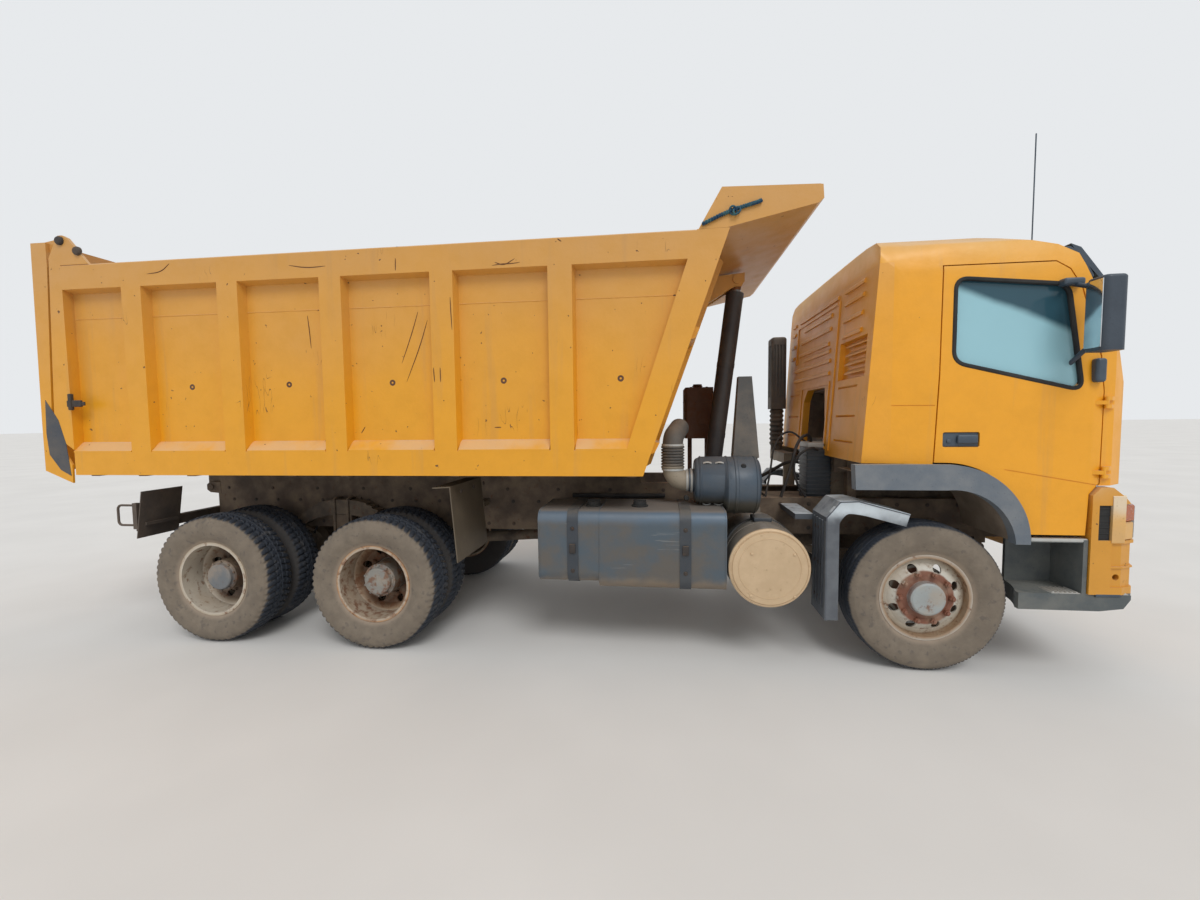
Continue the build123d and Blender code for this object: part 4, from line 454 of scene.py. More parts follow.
RIB_Y = 1.25
RIB_MARKS = (((-3.013, 2.918), (-2.885, 2.927), (-2.811, 2.988)), ((-1.817, 2.926), (-1.674, 2.9), (-1.524, 2.907)),
             ((-0.977, 2.937), (-0.98, 2.848)), ((-0.258, 2.85), (-0.189, 2.858), (-0.126, 2.856), (-0.054, 2.862)),
             ((-0.238, 2.872), (-0.17, 2.845), (-0.092, 2.89)), ((0.215, 3.009), (0.243, 2.989)),
             ((-0.573, 2.646), (-0.571, 2.552), (-0.565, 2.411)), ((-0.715, 2.148), (-0.708, 2.042)),
             ((-0.664, 2.147), (-0.663, 2.041)))
BAY_MARKS = (((-1.742, 2.572), (-1.731, 2.462), (-1.722, 2.321)), ((-0.856, 2.569), (-0.908, 2.411), (-0.995, 2.192)),
             ((-0.785, 2.504), (-0.849, 2.311), (-0.963, 2.053)), ((-1.342, 1.673), (-1.308, 1.723)),
             ((-0.292, 1.708), (-0.241, 1.708)))
gouges = []
for surface_y, marks in ((RIB_Y, RIB_MARKS), (PANEL_Y, BAY_MARKS)):
    for mark in marks:
        path = smooth_path([(x, -surface_y - 0.0002, z) for x, z in mark], 2)
        gouges.append(tube_along(path, 0.0006 + 0.0028 * (1 - np.linspace(-1, 1, len(path)) ** 2), 6))
gouge_rust = weathered("gouge_rust", (0.085, 0.032, 0.016), (0.19, 0.08, 0.03), 0.5, 0.3, 0.85)
fitting("bed_gouges", gouges, gouge_rust, "bed")

latch = [rounded_block((-3.795, -1.268, 1.905), (-3.665, -1.249, 1.958), 0.006),
         rounded_block((-3.775, -1.276, 1.88), (-3.745, -1.249, 2.01), 0.007),
         rounded_block((-3.7, -1.262, 1.915), (-3.64, -1.249, 1.945), 0.005)]
fitting("tailgate_latches", both(latch), old_iron, "bed")
# painted shade: a thin dark plate on the tailgate's side where the gap to the bed lies in shade
GAP_SHADE_OUTLINE = ((-4.014, 1.965), (-3.905, 1.803), (-3.85, 1.614), (-3.822, 1.35), (-3.915, 1.398), (-4.011, 1.523),
         (-4.026, 1.696))
strip = swept([(0, -1.2515, 0), (0, -1.2485, 0)], (1, 0, 0), (0, 0, 1), GAP_SHADE_OUTLINE)
gap_shade_plate = weathered("gap_shade_plate", (0.062, 0.07, 0.085), (0.16, 0.13, 0.1), 0.5, 0.4, 0.7)
fitting("tailgate_gap_shade", both([strip]), gap_shade_plate, "tailgate", False)
KNOB = turned(((0, -0.004), (0.034, -0.004), (0.034, 0.012), (0.028, 0.02), (0.016, 0.024), (0, 0.025)), 24)
knobs = [placed(KNOB, (x, -RIB_Y, z), -1) for x, z in ((-3.764, 3.207), (-3.609, 3.12))]
fitting("tailgate_pin_caps", both(knobs), old_iron, "bed")

rope_fibre, shader, place, _ = start_material("rope_fibre")
lay = place.stretched((260.0, 260.0, 260.0)).noise(1.0, 2)
feed(shader, Base_Color=place.noise(18.0, 3).ease(0.4, 0.62).tint((0.012, 0.05, 0.105), (0.045, 0.135, 0.15)),
     Roughness=0.85, Normal=bump(lay, 0.001))
ROPE_X, ROPE_Z = (1.581, 1.56, 1.491, 1.399, 1.307, 1.201), (3.176, 3.168, 3.151, 3.127, 3.093, 3.046)
ROPE_TURNS = 15
steps = np.linspace(0, 1, 160)
rope_x, rope_z = (np.interp(steps, np.linspace(0, 1, len(ROPE_X)), line) for line in (ROPE_X, ROPE_Z))
strands = []
for start in (0.0, math.pi):
    turn = start + steps * 2 * math.pi * ROPE_TURNS
    strand = xyz(rope_x - 0.00245 * np.sin(turn), -1.2635 + 0.006 * np.cos(turn), rope_z + 0.007 * np.sin(turn))
    strands.append(tube_along(strand, 0.0068, 8))
turn = np.linspace(0, 2 * math.pi * 3.4, 120)
knot = xyz(1.411 + 0.016 * np.cos(turn * 0.5) + 0.022 * np.sin(turn), -1.272 + 0.009 * np.cos(turn * 1.5),
           3.118 + 0.026 * np.cos(turn))
strands.append(tube_along(knot, 0.0066, 8))
add_mesh("canopy_rope", *joined(strands), rope_fibre, "bed", True)


# Tyres
# Ten worn radial tyres with dust-brown sidewalls; the tread's grooves and lugs are cut into the mesh.

WHEEL_PLACES = {"front": 2.711, "first": -1.279, "second": -2.649}
AXLE_HEIGHT = 0.515
TYRE_RADIUS = 0.515
TREAD_HALF = 0.118
BEAD_RADIUS = 0.2866
BEAD_HALF = 0.107
SHOULDER_DROP = 0.012
SIDEWALL_BULGE = 0.04


def tyre_surface(across, turn, steering):
    """Place of a tyre's skin, its axle along y, from across (-1 at one bead, 1 at the other) and turn (an angle).

    Crown, for |across| up to a half: y runs over the tread's width and the radius falls with the cube of |y|.
    Sidewall: the radius falls evenly to the bead while y goes out and back by a half sine, with a protector ring
    near the rim and three fine rings under the shoulder. Grooves lower the crown: on a steering tyre four zigzag
    grooves round it, on a driving tyre slanting cross grooves that widen outwards and two zigzags."""
    side = np.sign(across)
    crown = np.clip(np.abs(across) / 0.5, 0, 1)
    wall = np.clip((np.abs(across) - 0.5) / 0.5, 0, 1)
    y = side * (TREAD_HALF * crown * (1 - wall) + BEAD_HALF * wall + SIDEWALL_BULGE * np.sin(math.pi * wall ** 0.85))
    radius = (TYRE_RADIUS - SHOULDER_DROP * crown ** 3) * (1 - wall) + BEAD_RADIUS * wall
    y = y + side * (0.005 * np.exp(-((wall - 0.8) / 0.035) ** 2)
                    + 0.0015 * sum(np.exp(-((wall - at) / 0.012) ** 2) for at in (0.16, 0.22, 0.6)))
    pitch = 60
    swing = np.abs((turn * pitch / math.pi) % 2 - 1) - 0.5
    if steering:
        depth = 0.009
        zigzag = y + 0.006 * swing
        grooves = sum(np.exp(-(np.abs(zigzag - at) / 0.0055) ** 4) for at in (-0.078, -0.027, 0.027, 0.078))
        sipes = np.exp(-(np.abs(swing) / 0.16) ** 4) * (crown > 0.86) * 0.7
        cut = np.maximum(np.clip(grooves, 0, 1), sipes)
    else:
        depth = 0.014
        slant = (turn * pitch / (2 * math.pi) + np.abs(y) * 6 + 0.5 * (y > 0)) % 1
        width = 0.12 + 0.11 * crown ** 2
        cross = np.exp(-(np.abs(slant - 0.5) / width) ** 6) * (crown > 0.12)
        round_it = sum(np.exp(-(np.abs(y + 0.008 * swing - at) / 0.005) ** 4) for at in (-0.05, 0.0, 0.05))
        cut = np.maximum(cross, np.clip(round_it, 0, 1))
    lug_fade = np.clip(1 - wall / 0.14, 0, 1)
    radius = radius - depth * cut * lug_fade
    return xyz(radius * np.cos(turn), y, radius * np.sin(turn))


def axle_distance(place, centre_x):
    """Distance from a wheel's axle at these coordinates."""
    spoke = place.stretched((1, 0, 1), (centre_x, 0, AXLE_HEIGHT))
    return spoke.node("ShaderNodeVectorMath", {"operation": "LENGTH"}, {0: spoke}, output=1)


def rubber(name, centre_x):
    """Tyre rubber: blue-black tread, sidewalls brown with road dust, darker streaks that run outwards, and painted
    shade darkening the inner sidewalls.
    """
    material, shader, place, _ = start_material(name)
    radius = axle_distance(place, centre_x)
    cloud = place.noise(5.0, 4)
    tread = (radius + (cloud - 0.5) * 0.03).ease(0.488, 0.502)
    sidewall = place.noise(9.0, 5, 0.65).ease(0.25, 0.85).tint((0.158, 0.13, 0.101), (0.228, 0.188, 0.143))
    scuff = place.noise(24.0, 3).ease(0.58, 0.68) * 0.5
    sidewall = scuff.tint(sidewall, (0.095, 0.085, 0.078))
    rim_edge = radius.ease(0.335, 0.3) * 0.45
    sidewall = rim_edge.tint(sidewall, (0.42, 0.33, 0.25))
    # painted shade: the sidewalls that face inwards, between the twins and under the truck, go nearly black
    painted_inner_shade = (place.axis("Y") * place.axis("Y")).ease(0.868, 0.822) * 0.85
    sidewall = painted_inner_shade.tint(sidewall, (0.03, 0.031, 0.035))
    dusty_tread = place.noise(12.0, 4).ease(0.5, 0.8).tint((0.022, 0.028, 0.04), (0.085, 0.082, 0.08))
    feed(shader, Base_Color=tread.tint(sidewall, dusty_tread), Roughness=0.88 - tread * 0.12,
         Normal=bump(place.noise(60.0, 3) + scuff, 0.0015))
    return material


TREAD_STEPS = np.linspace(-0.5, 0.5, 43)
WALL_STEPS = np.array((0.52, 0.54, 0.56, 0.58, 0.6, 0.65, 0.7, 0.76, 0.8, 0.86, 0.89, 0.92, 0.96, 1.0))
TYRE_STEPS = np.concatenate((-WALL_STEPS[::-1], TREAD_STEPS, WALL_STEPS))
FRONT_TYRE = (("tyre", 1.025, 420),)
TWIN_TYRES = (("outer", 1.09, 420), ("inner", 0.745, 240))
tyre_rubbers = {axle: rubber(f"rubber_{axle}", x) for axle, x in WHEEL_PLACES.items()}
# each wheel: its axle, side, sign of y, body, and "s" where it is twin
wheels = [(axle, side, sign, f"{axle}_wheel{plural}_{side}", plural)
          for axle, plural in (("front", ""), ("first", "s"), ("second", "s"))
          for side, sign in (("right", -1), ("left", 1))]
for axle, side, sign, body, plural in wheels:
    for ring, y, steps in TWIN_TYRES if plural else FRONT_TYRE:
        across, turn = np.meshgrid(TYRE_STEPS, np.linspace(0, 2 * math.pi, steps, endpoint=False), indexing="ij")
        skin = tyre_surface(across, turn, axle == "front")
        # the last two loops fold inside, under the beads
        skin = np.concatenate((skin, skin[[-1, 0]] * (1.06, 0.85, 1.06)))
        skin = skin + (WHEEL_PLACES[axle], sign * y, AXLE_HEIGHT)
        piece = add_mesh(f"{axle}_{side}_{ring}_tread", skin, quads(len(skin), steps, 0), tyre_rubbers[axle], body,
                         True)
        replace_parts(piece, f"{axle}_{side}_tyre{plural}")


# Wheels
# Pressed steel rims, once pale, on iron hubs; the nut ring is rusty. Hex nuts, studs and hub bolts are added.

def wheel_finish(name, centre_x, stops, rust):
    """Weathered rim: colours by distance from the axle as a ramp over 0.3 m, with rust in clouds and drips."""
    material, shader, place, _ = start_material(name)
    radius = axle_distance(place, centre_x)
    wobble = (place.noise(14.0, 4) - 0.5) * 0.05
    band = place.node("ShaderNodeValToRGB", {"stops": stops}, {0: radius / 0.3 + wobble})
    rusty = place.noise(16.0, 6, 0.7).ease(0.6 - rust * 0.25, 0.74 - rust * 0.2)
    colour = (rusty * 0.85).tint(band, (0.17, 0.068, 0.03))
    dust = place.noise(6.0, 4).ease(0.45, 0.7) * 0.45
    colour = dust.tint(colour, (0.4, 0.31, 0.22))
    feed(shader, Base_Color=colour, Roughness=0.55 + rusty * 0.3,
         Normal=bump(place.noise(45.0, 4) + rusty * 0.8, 0.0012))
    return material


FRONT_BANDS = ((0.0, (0.3, 0.32, 0.32)), (0.36, (0.34, 0.37, 0.37)), (0.4, (0.19, 0.075, 0.045)),
               (0.6, (0.22, 0.085, 0.05)), (0.64, (0.55, 0.53, 0.47)), (0.86, (0.5, 0.45, 0.36)),
               (0.92, (0.3, 0.19, 0.11)), (1.0, (0.46, 0.42, 0.36)))
FIRST_BANDS = ((0.0, (0.25, 0.25, 0.23)), (0.43, (0.23, 0.22, 0.2)), (0.47, (0.1, 0.055, 0.032)),
               (0.8, (0.15, 0.08, 0.042)), (0.88, (0.3, 0.2, 0.12)), (0.94, (0.46, 0.4, 0.32)),
               (1.0, (0.42, 0.19, 0.055)))
SECOND_BANDS = ((0.0, (0.14, 0.155, 0.17)), (0.34, (0.16, 0.17, 0.18)), (0.4, (0.11, 0.075, 0.055)),
                (0.78, (0.16, 0.11, 0.08)), (0.86, (0.4, 0.33, 0.25)), (0.93, (0.52, 0.47, 0.39)),
                (1.0, (0.44, 0.36, 0.26)))
WHEEL_ROWS = (("front", FRONT_BANDS, 0.25), ("first", FIRST_BANDS, 0.55), ("second", SECOND_BANDS, 0.3))
wheel_finishes = {axle: wheel_finish(f"{axle}_wheel_finish", WHEEL_PLACES[axle], bands, rust)
                  for axle, bands, rust in WHEEL_ROWS}
for axle, side, _, _, plural in wheels:
    dress((f"{axle}_{side}_rim{plural}",), wheel_finishes[axle])


def hex_nut(corner, height, stud, stud_out):
    """Profile turned in 6 steps for the nut and in 12 for the stud on it, both along +y from y = 0."""
    top = height + stud_out
    return joined([
        turned(((0, 0), (corner, 0), (corner, height * 0.8), (corner * 0.88, height), (0, height)), 6),
        turned(((0, height / 2), (stud, height / 2), (stud, top - stud_out * 0.2), (stud * 0.7, top), (0, top)), 12)])


# each row: the bolt, its circle's radius and y, and the turn of the first one
WHEEL_NUT = hex_nut(0.0215, 0.026, 0.011, 0.012)
HUB_BOLT = hex_nut(0.0095, 0.008, 0.004, 0.001)
FRONT_FIXINGS = ((WHEEL_NUT, 0.1675, 1.135, 0.0),)
TWIN_FIXINGS = ((WHEEL_NUT, 0.1675, 0.9295, 0.0), (HUB_BOLT, 0.118, 1.124, 0.3))
for axle, side, sign, body, plural in wheels:
    centre = np.array((WHEEL_PLACES[axle], 0, AXLE_HEIGHT))
    fixings = [placed(bolt, centre + (radius * math.cos(turn), sign * y, radius * math.sin(turn)), sign)
               for bolt, radius, y, start in (TWIN_FIXINGS if plural else FRONT_FIXINGS)
               for turn in start + np.arange(10) * 2 * math.pi / 10]
    fitting(f"{axle}_{side}_nuts", fixings, wheel_finishes[axle], body, False)


# Cab
# Paint a little fresher than the bed's, paler on the roof, with black window rubbers, slate handles and wipers, and
# panes with a painted reflection.

cab_paint = worn_paint("cab_paint", (0.86, 0.375, 0.012), (0.74, 0.43, 0.11), (2.55, 3.25), chips=0.0)
back_paint = worn_paint("back_wall_paint", (0.84, 0.37, 0.02), (0.74, 0.38, 0.1), (2.1, 3.4), chips=0.5)
dress(("cab_roof", "cab_sides", "cab_front_panel", "door_right", "door_left"), cab_paint)
dress(("cab_back_wall",), back_paint)
soften(("cab_sides", "cab_front_panel", "door_right", "door_left", "front_bumper"), 24)
soften(("cab_roof",), 50)

dark_plastic = weathered("dark_plastic", (0.045, 0.064, 0.088), (0.1, 0.14, 0.18), 0.4, 0.0, 0.42)
dress(("sun_visor", "antenna"), dark_plastic)
mirror_plastic = weathered("mirror_plastic", (0.03, 0.042, 0.06), (0.065, 0.088, 0.115), 0.4, 0.0, 0.42)
dress(("mirror_right", "mirror_left"), mirror_plastic)
seal_rubber = weathered("seal_rubber", (0.01, 0.011, 0.012), (0.045, 0.043, 0.04), 0.6, 0.0, 0.8)

CAB_PLAN = ((2.231, 1.105), (2.471, 1.145), (2.771, 1.195), (3.631, 1.195), (3.791, 1.16), (3.911, 1.07),
            (3.976, 0.93), (4.019, 0.5), (4.031, 0.0))
CAB_SECTION = ((0.8, 1.19), (1.3, 1.196), (1.9, 1.196), (2.7, 1.15), (2.88, 1.118), (2.935, 1.04),
               (2.975, 0.6), (2.988, 0.0))
CAB_FRONT = ((1.295, 3.991), (1.5, 4.019), (1.75, 4.006), (1.96, 3.911), (2.78, 3.566))
WINDOW = ((2.84, 2.649), (2.823, 2.104), (3.576, 1.91), (3.5, 2.582))
SCREEN = ((-1.02, 1.96), (1.02, 1.96), (1.02, 2.715), (-1.02, 2.715))


def cab_skin(x, z):
    """Half width of the cab at an x and a height: the smaller of what its plan and its front view allow."""
    return np.minimum(np.interp(x, *np.transpose(CAB_PLAN)), np.interp(z, *np.transpose(CAB_SECTION)))


def cab_front(y, z):
    """x of the cab's front at a y and a height."""
    plan = np.transpose(CAB_PLAN[::-1])
    return np.minimum(np.interp(np.abs(y), plan[1], plan[0]), np.interp(z, *np.transpose(CAB_FRONT)))


def rounded_outline(corners, radius, steps=8, along=10):
    """Closed outline in two dimensions, its corners turned into parabolas that start a radius away on each side."""
    corners = np.asarray(corners, float)
    starts, ends = (corners + radius * unit(np.roll(corners, step, 0) - corners) for step in (1, -1))
    t = np.linspace(0, 1, steps)[None, :, None]
    bends = (1 - t) ** 2 * starts[:, None] + 2 * t * (1 - t) * corners[:, None] + t ** 2 * ends[:, None]
    t = np.linspace(0, 1, along + 2)[None, 1:-1, None]
    sides = (1 - t) * ends[:, None] + t * np.roll(starts, -1, 0)[:, None]
    return np.concatenate((bends, sides), 1).reshape(-1, 2)


def outwards(outline):
    """Directions that point out of a closed outline that runs round its middle."""
    ahead = unit(np.roll(outline, -1, 0) - np.roll(outline, 1, 0))
    out = np.stack((ahead[:, 1], -ahead[:, 0]), -1)
    return out * np.sign((out * (outline - outline.mean(0))).sum())


def bevelled(a_low, a_high, b_low, b_high, bevel):
    """Loop of a rectangle with its corners cut off."""
    return ((a_low + bevel, b_low), (a_high - bevel, b_low), (a_high, b_low + bevel), (a_high, b_high - bevel),
            (a_high - bevel, b_high), (a_low + bevel, b_high), (a_low, b_high - bevel), (a_low, b_low + bevel))


outline = rounded_outline(WINDOW, 0.075)
out = outwards(outline)
rim_line = xyz(outline[:, 0], -cab_skin(outline[:, 0], outline[:, 1]), outline[:, 1])
rubber_ring = swept(rim_line, xyz(out[:, 0], 0, out[:, 1]), (0, -1, 0),
                    bevelled(-0.01, 0.016, -0.02, 0.007, 0.006), closed=True)
VISOR_END = ((3.47, 2.79), (3.492, 2.836), (3.555, 2.838), (3.625, 2.77), (3.7, 2.64), (3.605, 2.622),
             (3.535, 2.668))
outline = rounded_outline(VISOR_END, 0.018)
middle = outline.mean(0)
visor_end = swept([(0, y, 0) for y in (-1.094, -1.088, -1.05, -1.044)], (1, 0, 0), (0, 0, 1),
                  np.stack([(outline - middle) * size + middle for size in (0.94, 1.0, 1.0, 0.94)]))
fitting("visor_ends", both([visor_end]), dark_plastic)
mirror_foot = [rounded_block((3.628, -1.232, 1.955), (3.69, -1.176, 2.105), 0.018, 4),
               rounded_block((3.44, -1.212, 2.566), (3.56, -1.14, 2.612), 0.015, 4)]
handle = [rounded_block((2.764, -1.185, 1.551), (2.984, -1.174, 1.645), 0.004),
          rounded_block((2.85, -1.206, 1.572), (2.974, -1.186, 1.628), 0.009),
          rounded_block((2.954, -1.202, 1.572), (2.976, -1.176, 1.628), 0.008),
          placed(turned(((0, -0.002), (0.014, -0.002), (0.014, 0.006), (0.01, 0.008), (0, 0.008)), 20),
                 (2.803, -1.185, 1.588), -1)]
for side in ("right", "left"):
    for name, solids, material in (("window_rubber", [rubber_ring], seal_rubber),
                                   ("door_handle", handle, dark_plastic), ("mirror_feet", mirror_foot, dark_plastic)):
        fitting(f"{name}_{side}", on_side(side, solids), material, f"door_{side}")

outline = rounded_outline(SCREEN, 0.06, along=24)
out = outwards(outline)
screen_line = xyz(cab_front(*outline.T), outline[:, 0], outline[:, 1])
screen_rubber = swept(screen_line, xyz(0, out[:, 0], out[:, 1]), (0.92, 0, 0.39),
                      bevelled(-0.014, 0.018, -0.024, 0.006, 0.006), closed=True)
fitting("windscreen_rubber", [screen_rubber], seal_rubber)


def pointed(solid, axis):
    """A solid made along y, laid along the axis named."""
    return np.asarray(solid[0])[:, {"x": [1, 0, 2], "y": [0, 1, 2], "z": [0, 2, 1]}[axis]], solid[1]


WIPER_Z, ARM_RISE, BLADE_LENGTH = 1.915, 0.36, (0.3, 0.42)
WIPER_CAP = turned(((0, -0.03), (0.022, -0.03), (0.022, 0.02), (0.014, 0.03), (0, 0.03)), 18)
wipers = []
t = np.linspace(0, 1, 14)
for pivot_y, tip_y in ((-0.62, -0.12), (0.2, 0.68)):
    y, z = pivot_y + (tip_y - pivot_y) * t, WIPER_Z + ARM_RISE * t
    wipers.append(tube_along(xyz(cab_front(y, z) + 0.03, y, z), 0.009 - 0.004 * t, 8))
    y, z = tip_y + BLADE_LENGTH[0] * (t - 0.5), WIPER_Z + ARM_RISE + BLADE_LENGTH[1] * (t - 0.5)
    wipers.append(tube_along(xyz(cab_front(y, z) + 0.018, y, z), 0.008, 6))
    wipers.append(placed(pointed(WIPER_CAP, "x"), (cab_front(pivot_y, WIPER_Z), pivot_y, WIPER_Z)))
fitting("wipers", wipers, seal_rubber)

grille = []
for low in (1.4, 1.49, 1.58, 1.67):
    y = np.linspace(-0.635, 0.635, 40)
    for z in (low + 0.018, low + 0.04):
        grille.append(tube_along(xyz(cab_front(y, z) - 0.02, y, z), 0.0045, 6))
    for y in np.linspace(-0.6, 0.6, 31):
        x = cab_front(y, low)
        grille.append(rounded_block((x - 0.034, y - 0.003, low - 0.001), (x - 0.014, y + 0.003, low + 0.059),
                                    0.002, 1))
fitting("grille_bars", grille, dark_plastic)

mirror_silver, shader, place, _ = start_material("mirror_silver")
feed(shader, Base_Color=place.noise(6.0).ease(0.3, 0.7).tint((0.52, 0.57, 0.62), (0.66, 0.7, 0.73)),
     Metallic=0.95, Roughness=place.noise(20.0).ease(0.4, 0.8) * 0.18 + 0.04)
pane = rounded_block((3.4865, -1.425, 2.15), (3.4925, -1.305, 2.55), 0.0025, 2)
for side in ("right", "left"):
    fitting(f"mirror_glass_{side}", on_side(side, [pane]), mirror_silver, f"door_{side}")

pane_glass, shader, place, _ = start_material("pane_glass")
haze = place.noise(2.2, 4)
# painted reflection: the panes are pale sky-blue low down and dark above, and more see-through where pale
painted_sky_low = (place.axis("Z") + (place.axis("X") - 3.2) * 0.45 + (haze - 0.5) * 0.06).ease(2.47, 2.4)
feed(shader, Base_Color=painted_sky_low.tint((0.035, 0.095, 0.13), (0.4, 0.7, 0.79)), Roughness=haze * 0.1 + 0.06,
     Alpha=0.86 - painted_sky_low * 0.14 + haze * 0.06, IOR=1.45)
dress(("door_glass_right", "door_glass_left", "windscreen"), pane_glass)


# Bumper and steps
# Scuffed yellow bumper with lamps let into its corners; grey step housings with a pale ribbed tread.

bumper_paint = worn_paint("bumper_paint", (0.66, 0.3, 0.028), (0.72, 0.57, 0.39), (1.16, 1.72), chips=1.6)
dress(("front_bumper",), bumper_paint)
BUMPER_PLAN = ((3.655, 1.212), (3.851, 1.205), (3.941, 1.16), (4.001, 1.05), (4.041, 0.7), (4.063, 0.0))


def along_bumper(x_from, x_to, section, steps=26):
    """Bar along the left end of the bumper between two x; its section is a loop of (outwards, height) pairs."""
    plan = np.array(BUMPER_PLAN)
    run = np.concatenate(([0], np.cumsum(np.linalg.norm(np.diff(plan, axis=0), axis=1))))
    at = np.linspace(*np.interp((x_from, x_to), plan[:, 0], run), steps)
    line = xyz(*(np.interp(at, run, line) for line in plan.T), 0)
    ahead = unit(np.gradient(line, axis=0))
    return swept(line, xyz(-ahead[:, 1], ahead[:, 0], 0), (0, 0, 1), section)


def lens_material(name, deep, pale):
    """Moulded lamp lens: fine upright flutes, dusty."""
    material, shader, place, _ = start_material(name)
    dust = place.noise(16.0, 4).ease(0.42, 0.72) * 0.6
    flutes = place.stretched((1.0, 1.0, 0.0)).node("ShaderNodeTexWave", {}, {"Scale": 42.0}, output=1)
    feed(shader, Base_Color=dust.tint(deep, pale), Roughness=dust * 0.5 + 0.15, Coat_Weight=0.4,
         Normal=bump(flutes, 0.0015))
    return material


cover_plastic = weathered("cover_plastic", (0.72, 0.42, 0.14), (0.5, 0.33, 0.17), 0.4, 0.05, 0.5,
                          other=("Z", 1.06, 1.2, (0.74, 0.6, 0.42)))
orange_lens = lens_material("orange_lens", (0.86, 0.17, 0.01), (0.74, 0.26, 0.05))
clear_lens = lens_material("clear_lens", (0.52, 0.56, 0.58), (0.4, 0.38, 0.34))
red_lens = lens_material("red_lens", (0.42, 0.012, 0.01), (0.3, 0.1, 0.06))
fitting("lamp_covers", both([along_bumper(3.774, 3.85, bevelled(-0.014, 0.005, 0.925, 1.238, 0.009)),
                             along_bumper(3.853, 3.93, bevelled(-0.024, 0, 0.949, 1.062, 0.006))]),
        cover_plastic)
# painted shade: a dark sheet at the back of each slot stands in for the shade inside the recess; the thin bars in
# front are its slats
slots = [along_bumper(3.699, 3.768, bevelled(-0.0225, -0.01, 0.946, 1.171, 0.003))]
slots += [along_bumper(3.7, 3.767, bevelled(-0.012, -0.006, z, z + 0.008, 0.002))
          for z in (0.985, 1.025, 1.065, 1.105, 1.145)]
fitting("bumper_slots", both(slots), seal_rubber)
for name, lens, x_span, section in (
        ("indicators", orange_lens, (3.853, 3.93), (-0.024, 0.002, 1.067, 1.174, 0.008)),
        ("headlamps", clear_lens, (3.934, 4.04), (-0.024, 0.001, 0.951, 1.172, 0.01)),
        ("fog_lamps", clear_lens, (4.004, 4.04), (-0.012, 0.001, 0.783, 0.917, 0.008))):
    fitting(name, both([along_bumper(*x_span, bevelled(*section))]), lens)
fitting("bumper_lip", both([along_bumper(3.7, 4.0625, bevelled(-0.03, 0.0005, 0.575, 0.6, 0.006), 40)]),
        dark_plastic)

step_plastic = weathered("step_plastic", (0.085, 0.1, 0.105), (0.2, 0.2, 0.18), 0.55, 0.05, 0.6)
dress(("cab_steps",), step_plastic)
pale_metal = weathered("pale_metal", (0.48, 0.5, 0.49), (0.36, 0.32, 0.27), 0.5, 0.15, 0.4)
tread = [rounded_block((3.45, -1.196, 0.586), (3.9, -1.075, 0.594), 0.003)]
tread += [rounded_block((x, -1.19, 0.59), (x + 0.012, -1.081, 0.6), 0.003, 2)
          for x in np.arange(3.46, 3.885, 0.028)]
tread += [rounded_block((3.314, -1.199, 0.93), (3.648, -1.15, 0.952), 0.005)]
fitting("step_treads", both(tread), pale_metal)


# Arches and mudguards
# Blue-grey arch mouldings over beige liners, and mudguards with a painted sunlit top, with ribs and bolts behind the
# front wheels.

arch_plastic = weathered("arch_plastic", (0.125, 0.15, 0.18), (0.3, 0.3, 0.29), 0.35, 0.0, 0.55)
dress(("wheel_arch_trims",), arch_plastic)
# the pale tone on what faces up is a painted sunlit top
guard_plastic = weathered("guard_plastic", (0.06, 0.07, 0.086), (0.62, 0.69, 0.74), 0.06, 0.0, 0.6,
                          other=("X", 0.5, 0.3, (0.135, 0.105, 0.07)))
dress(("mudguards",), guard_plastic)
liner_felt = weathered("liner_felt", (0.2, 0.155, 0.115), (0.36, 0.29, 0.22), 0.7, 0.1, 0.9)
ARCH_X, ARCH_Z, LINER_RADIUS = 2.781, 0.93, 0.432
LINER_Y, LINER_HALF, LINER_RIBS, RIB_HEIGHT = -0.8925, 0.2725, 24, 0.004
turn = np.linspace(0, math.pi / 2, 30)
radial = xyz(np.cos(turn), 0, np.sin(turn))
arc = radial * LINER_RADIUS + (ARCH_X, LINER_Y, ARCH_Z)
step = np.arange(LINER_RIBS + 1)
ribbed = np.stack((RIB_HEIGHT * (step % 2), LINER_HALF * (2 * step / LINER_RIBS - 1)), -1)
section = np.concatenate((ribbed, ribbed[::-1] * (0, 1) - (RIB_HEIGHT, 0)))
level_line = [(x, LINER_Y, ARCH_Z + LINER_RADIUS) for x in np.linspace(2.3, ARCH_X, 8)]
liners = [swept(arc, radial, (0, 1, 0), section), swept(level_line, (0, 0, 1), (0, 1, 0), section)]
fitting("arch_liners", both(liners), liner_felt)

BOLT = turned(((0, -0.004), (0.011, -0.004), (0.011, 0.006), (0.009, 0.008), (0, 0.008)), 6)
WASHER = turned(((0, -0.003), (0.016, -0.003), (0.016, 0.002), (0, 0.002)), 18)


def bolt_at(where, axis="y", side=-1, size=1.0):
    """Hex bolt with its washer, pointing along an axis, to the side given."""
    places, faces = joined([BOLT, WASHER])
    turn = side if axis != "z" else 1
    return placed(pointed((places * (1, turn, 1) * size, faces), axis), where)


GUARD_EDGE = ((2.043, 0.352), (2.043, 0.98), (2.044, 1.068), (2.132, 1.178), (2.251, 1.183), (2.46, 1.128),
              (2.579, 1.095))
guard_line = smooth_path([(x, -1.184, z) for x, z in GUARD_EDGE], 2)
ahead = unit(np.gradient(guard_line, axis=0))
inwards = xyz(ahead[:, 2], 0, -ahead[:, 0])
FLANGE = ((-0.004, -0.006), (-0.004, 0.03), (0.004, 0.03), (0.01, 0.004), (0.085, 0.004), (0.085, -0.002),
          (0.006, -0.002))
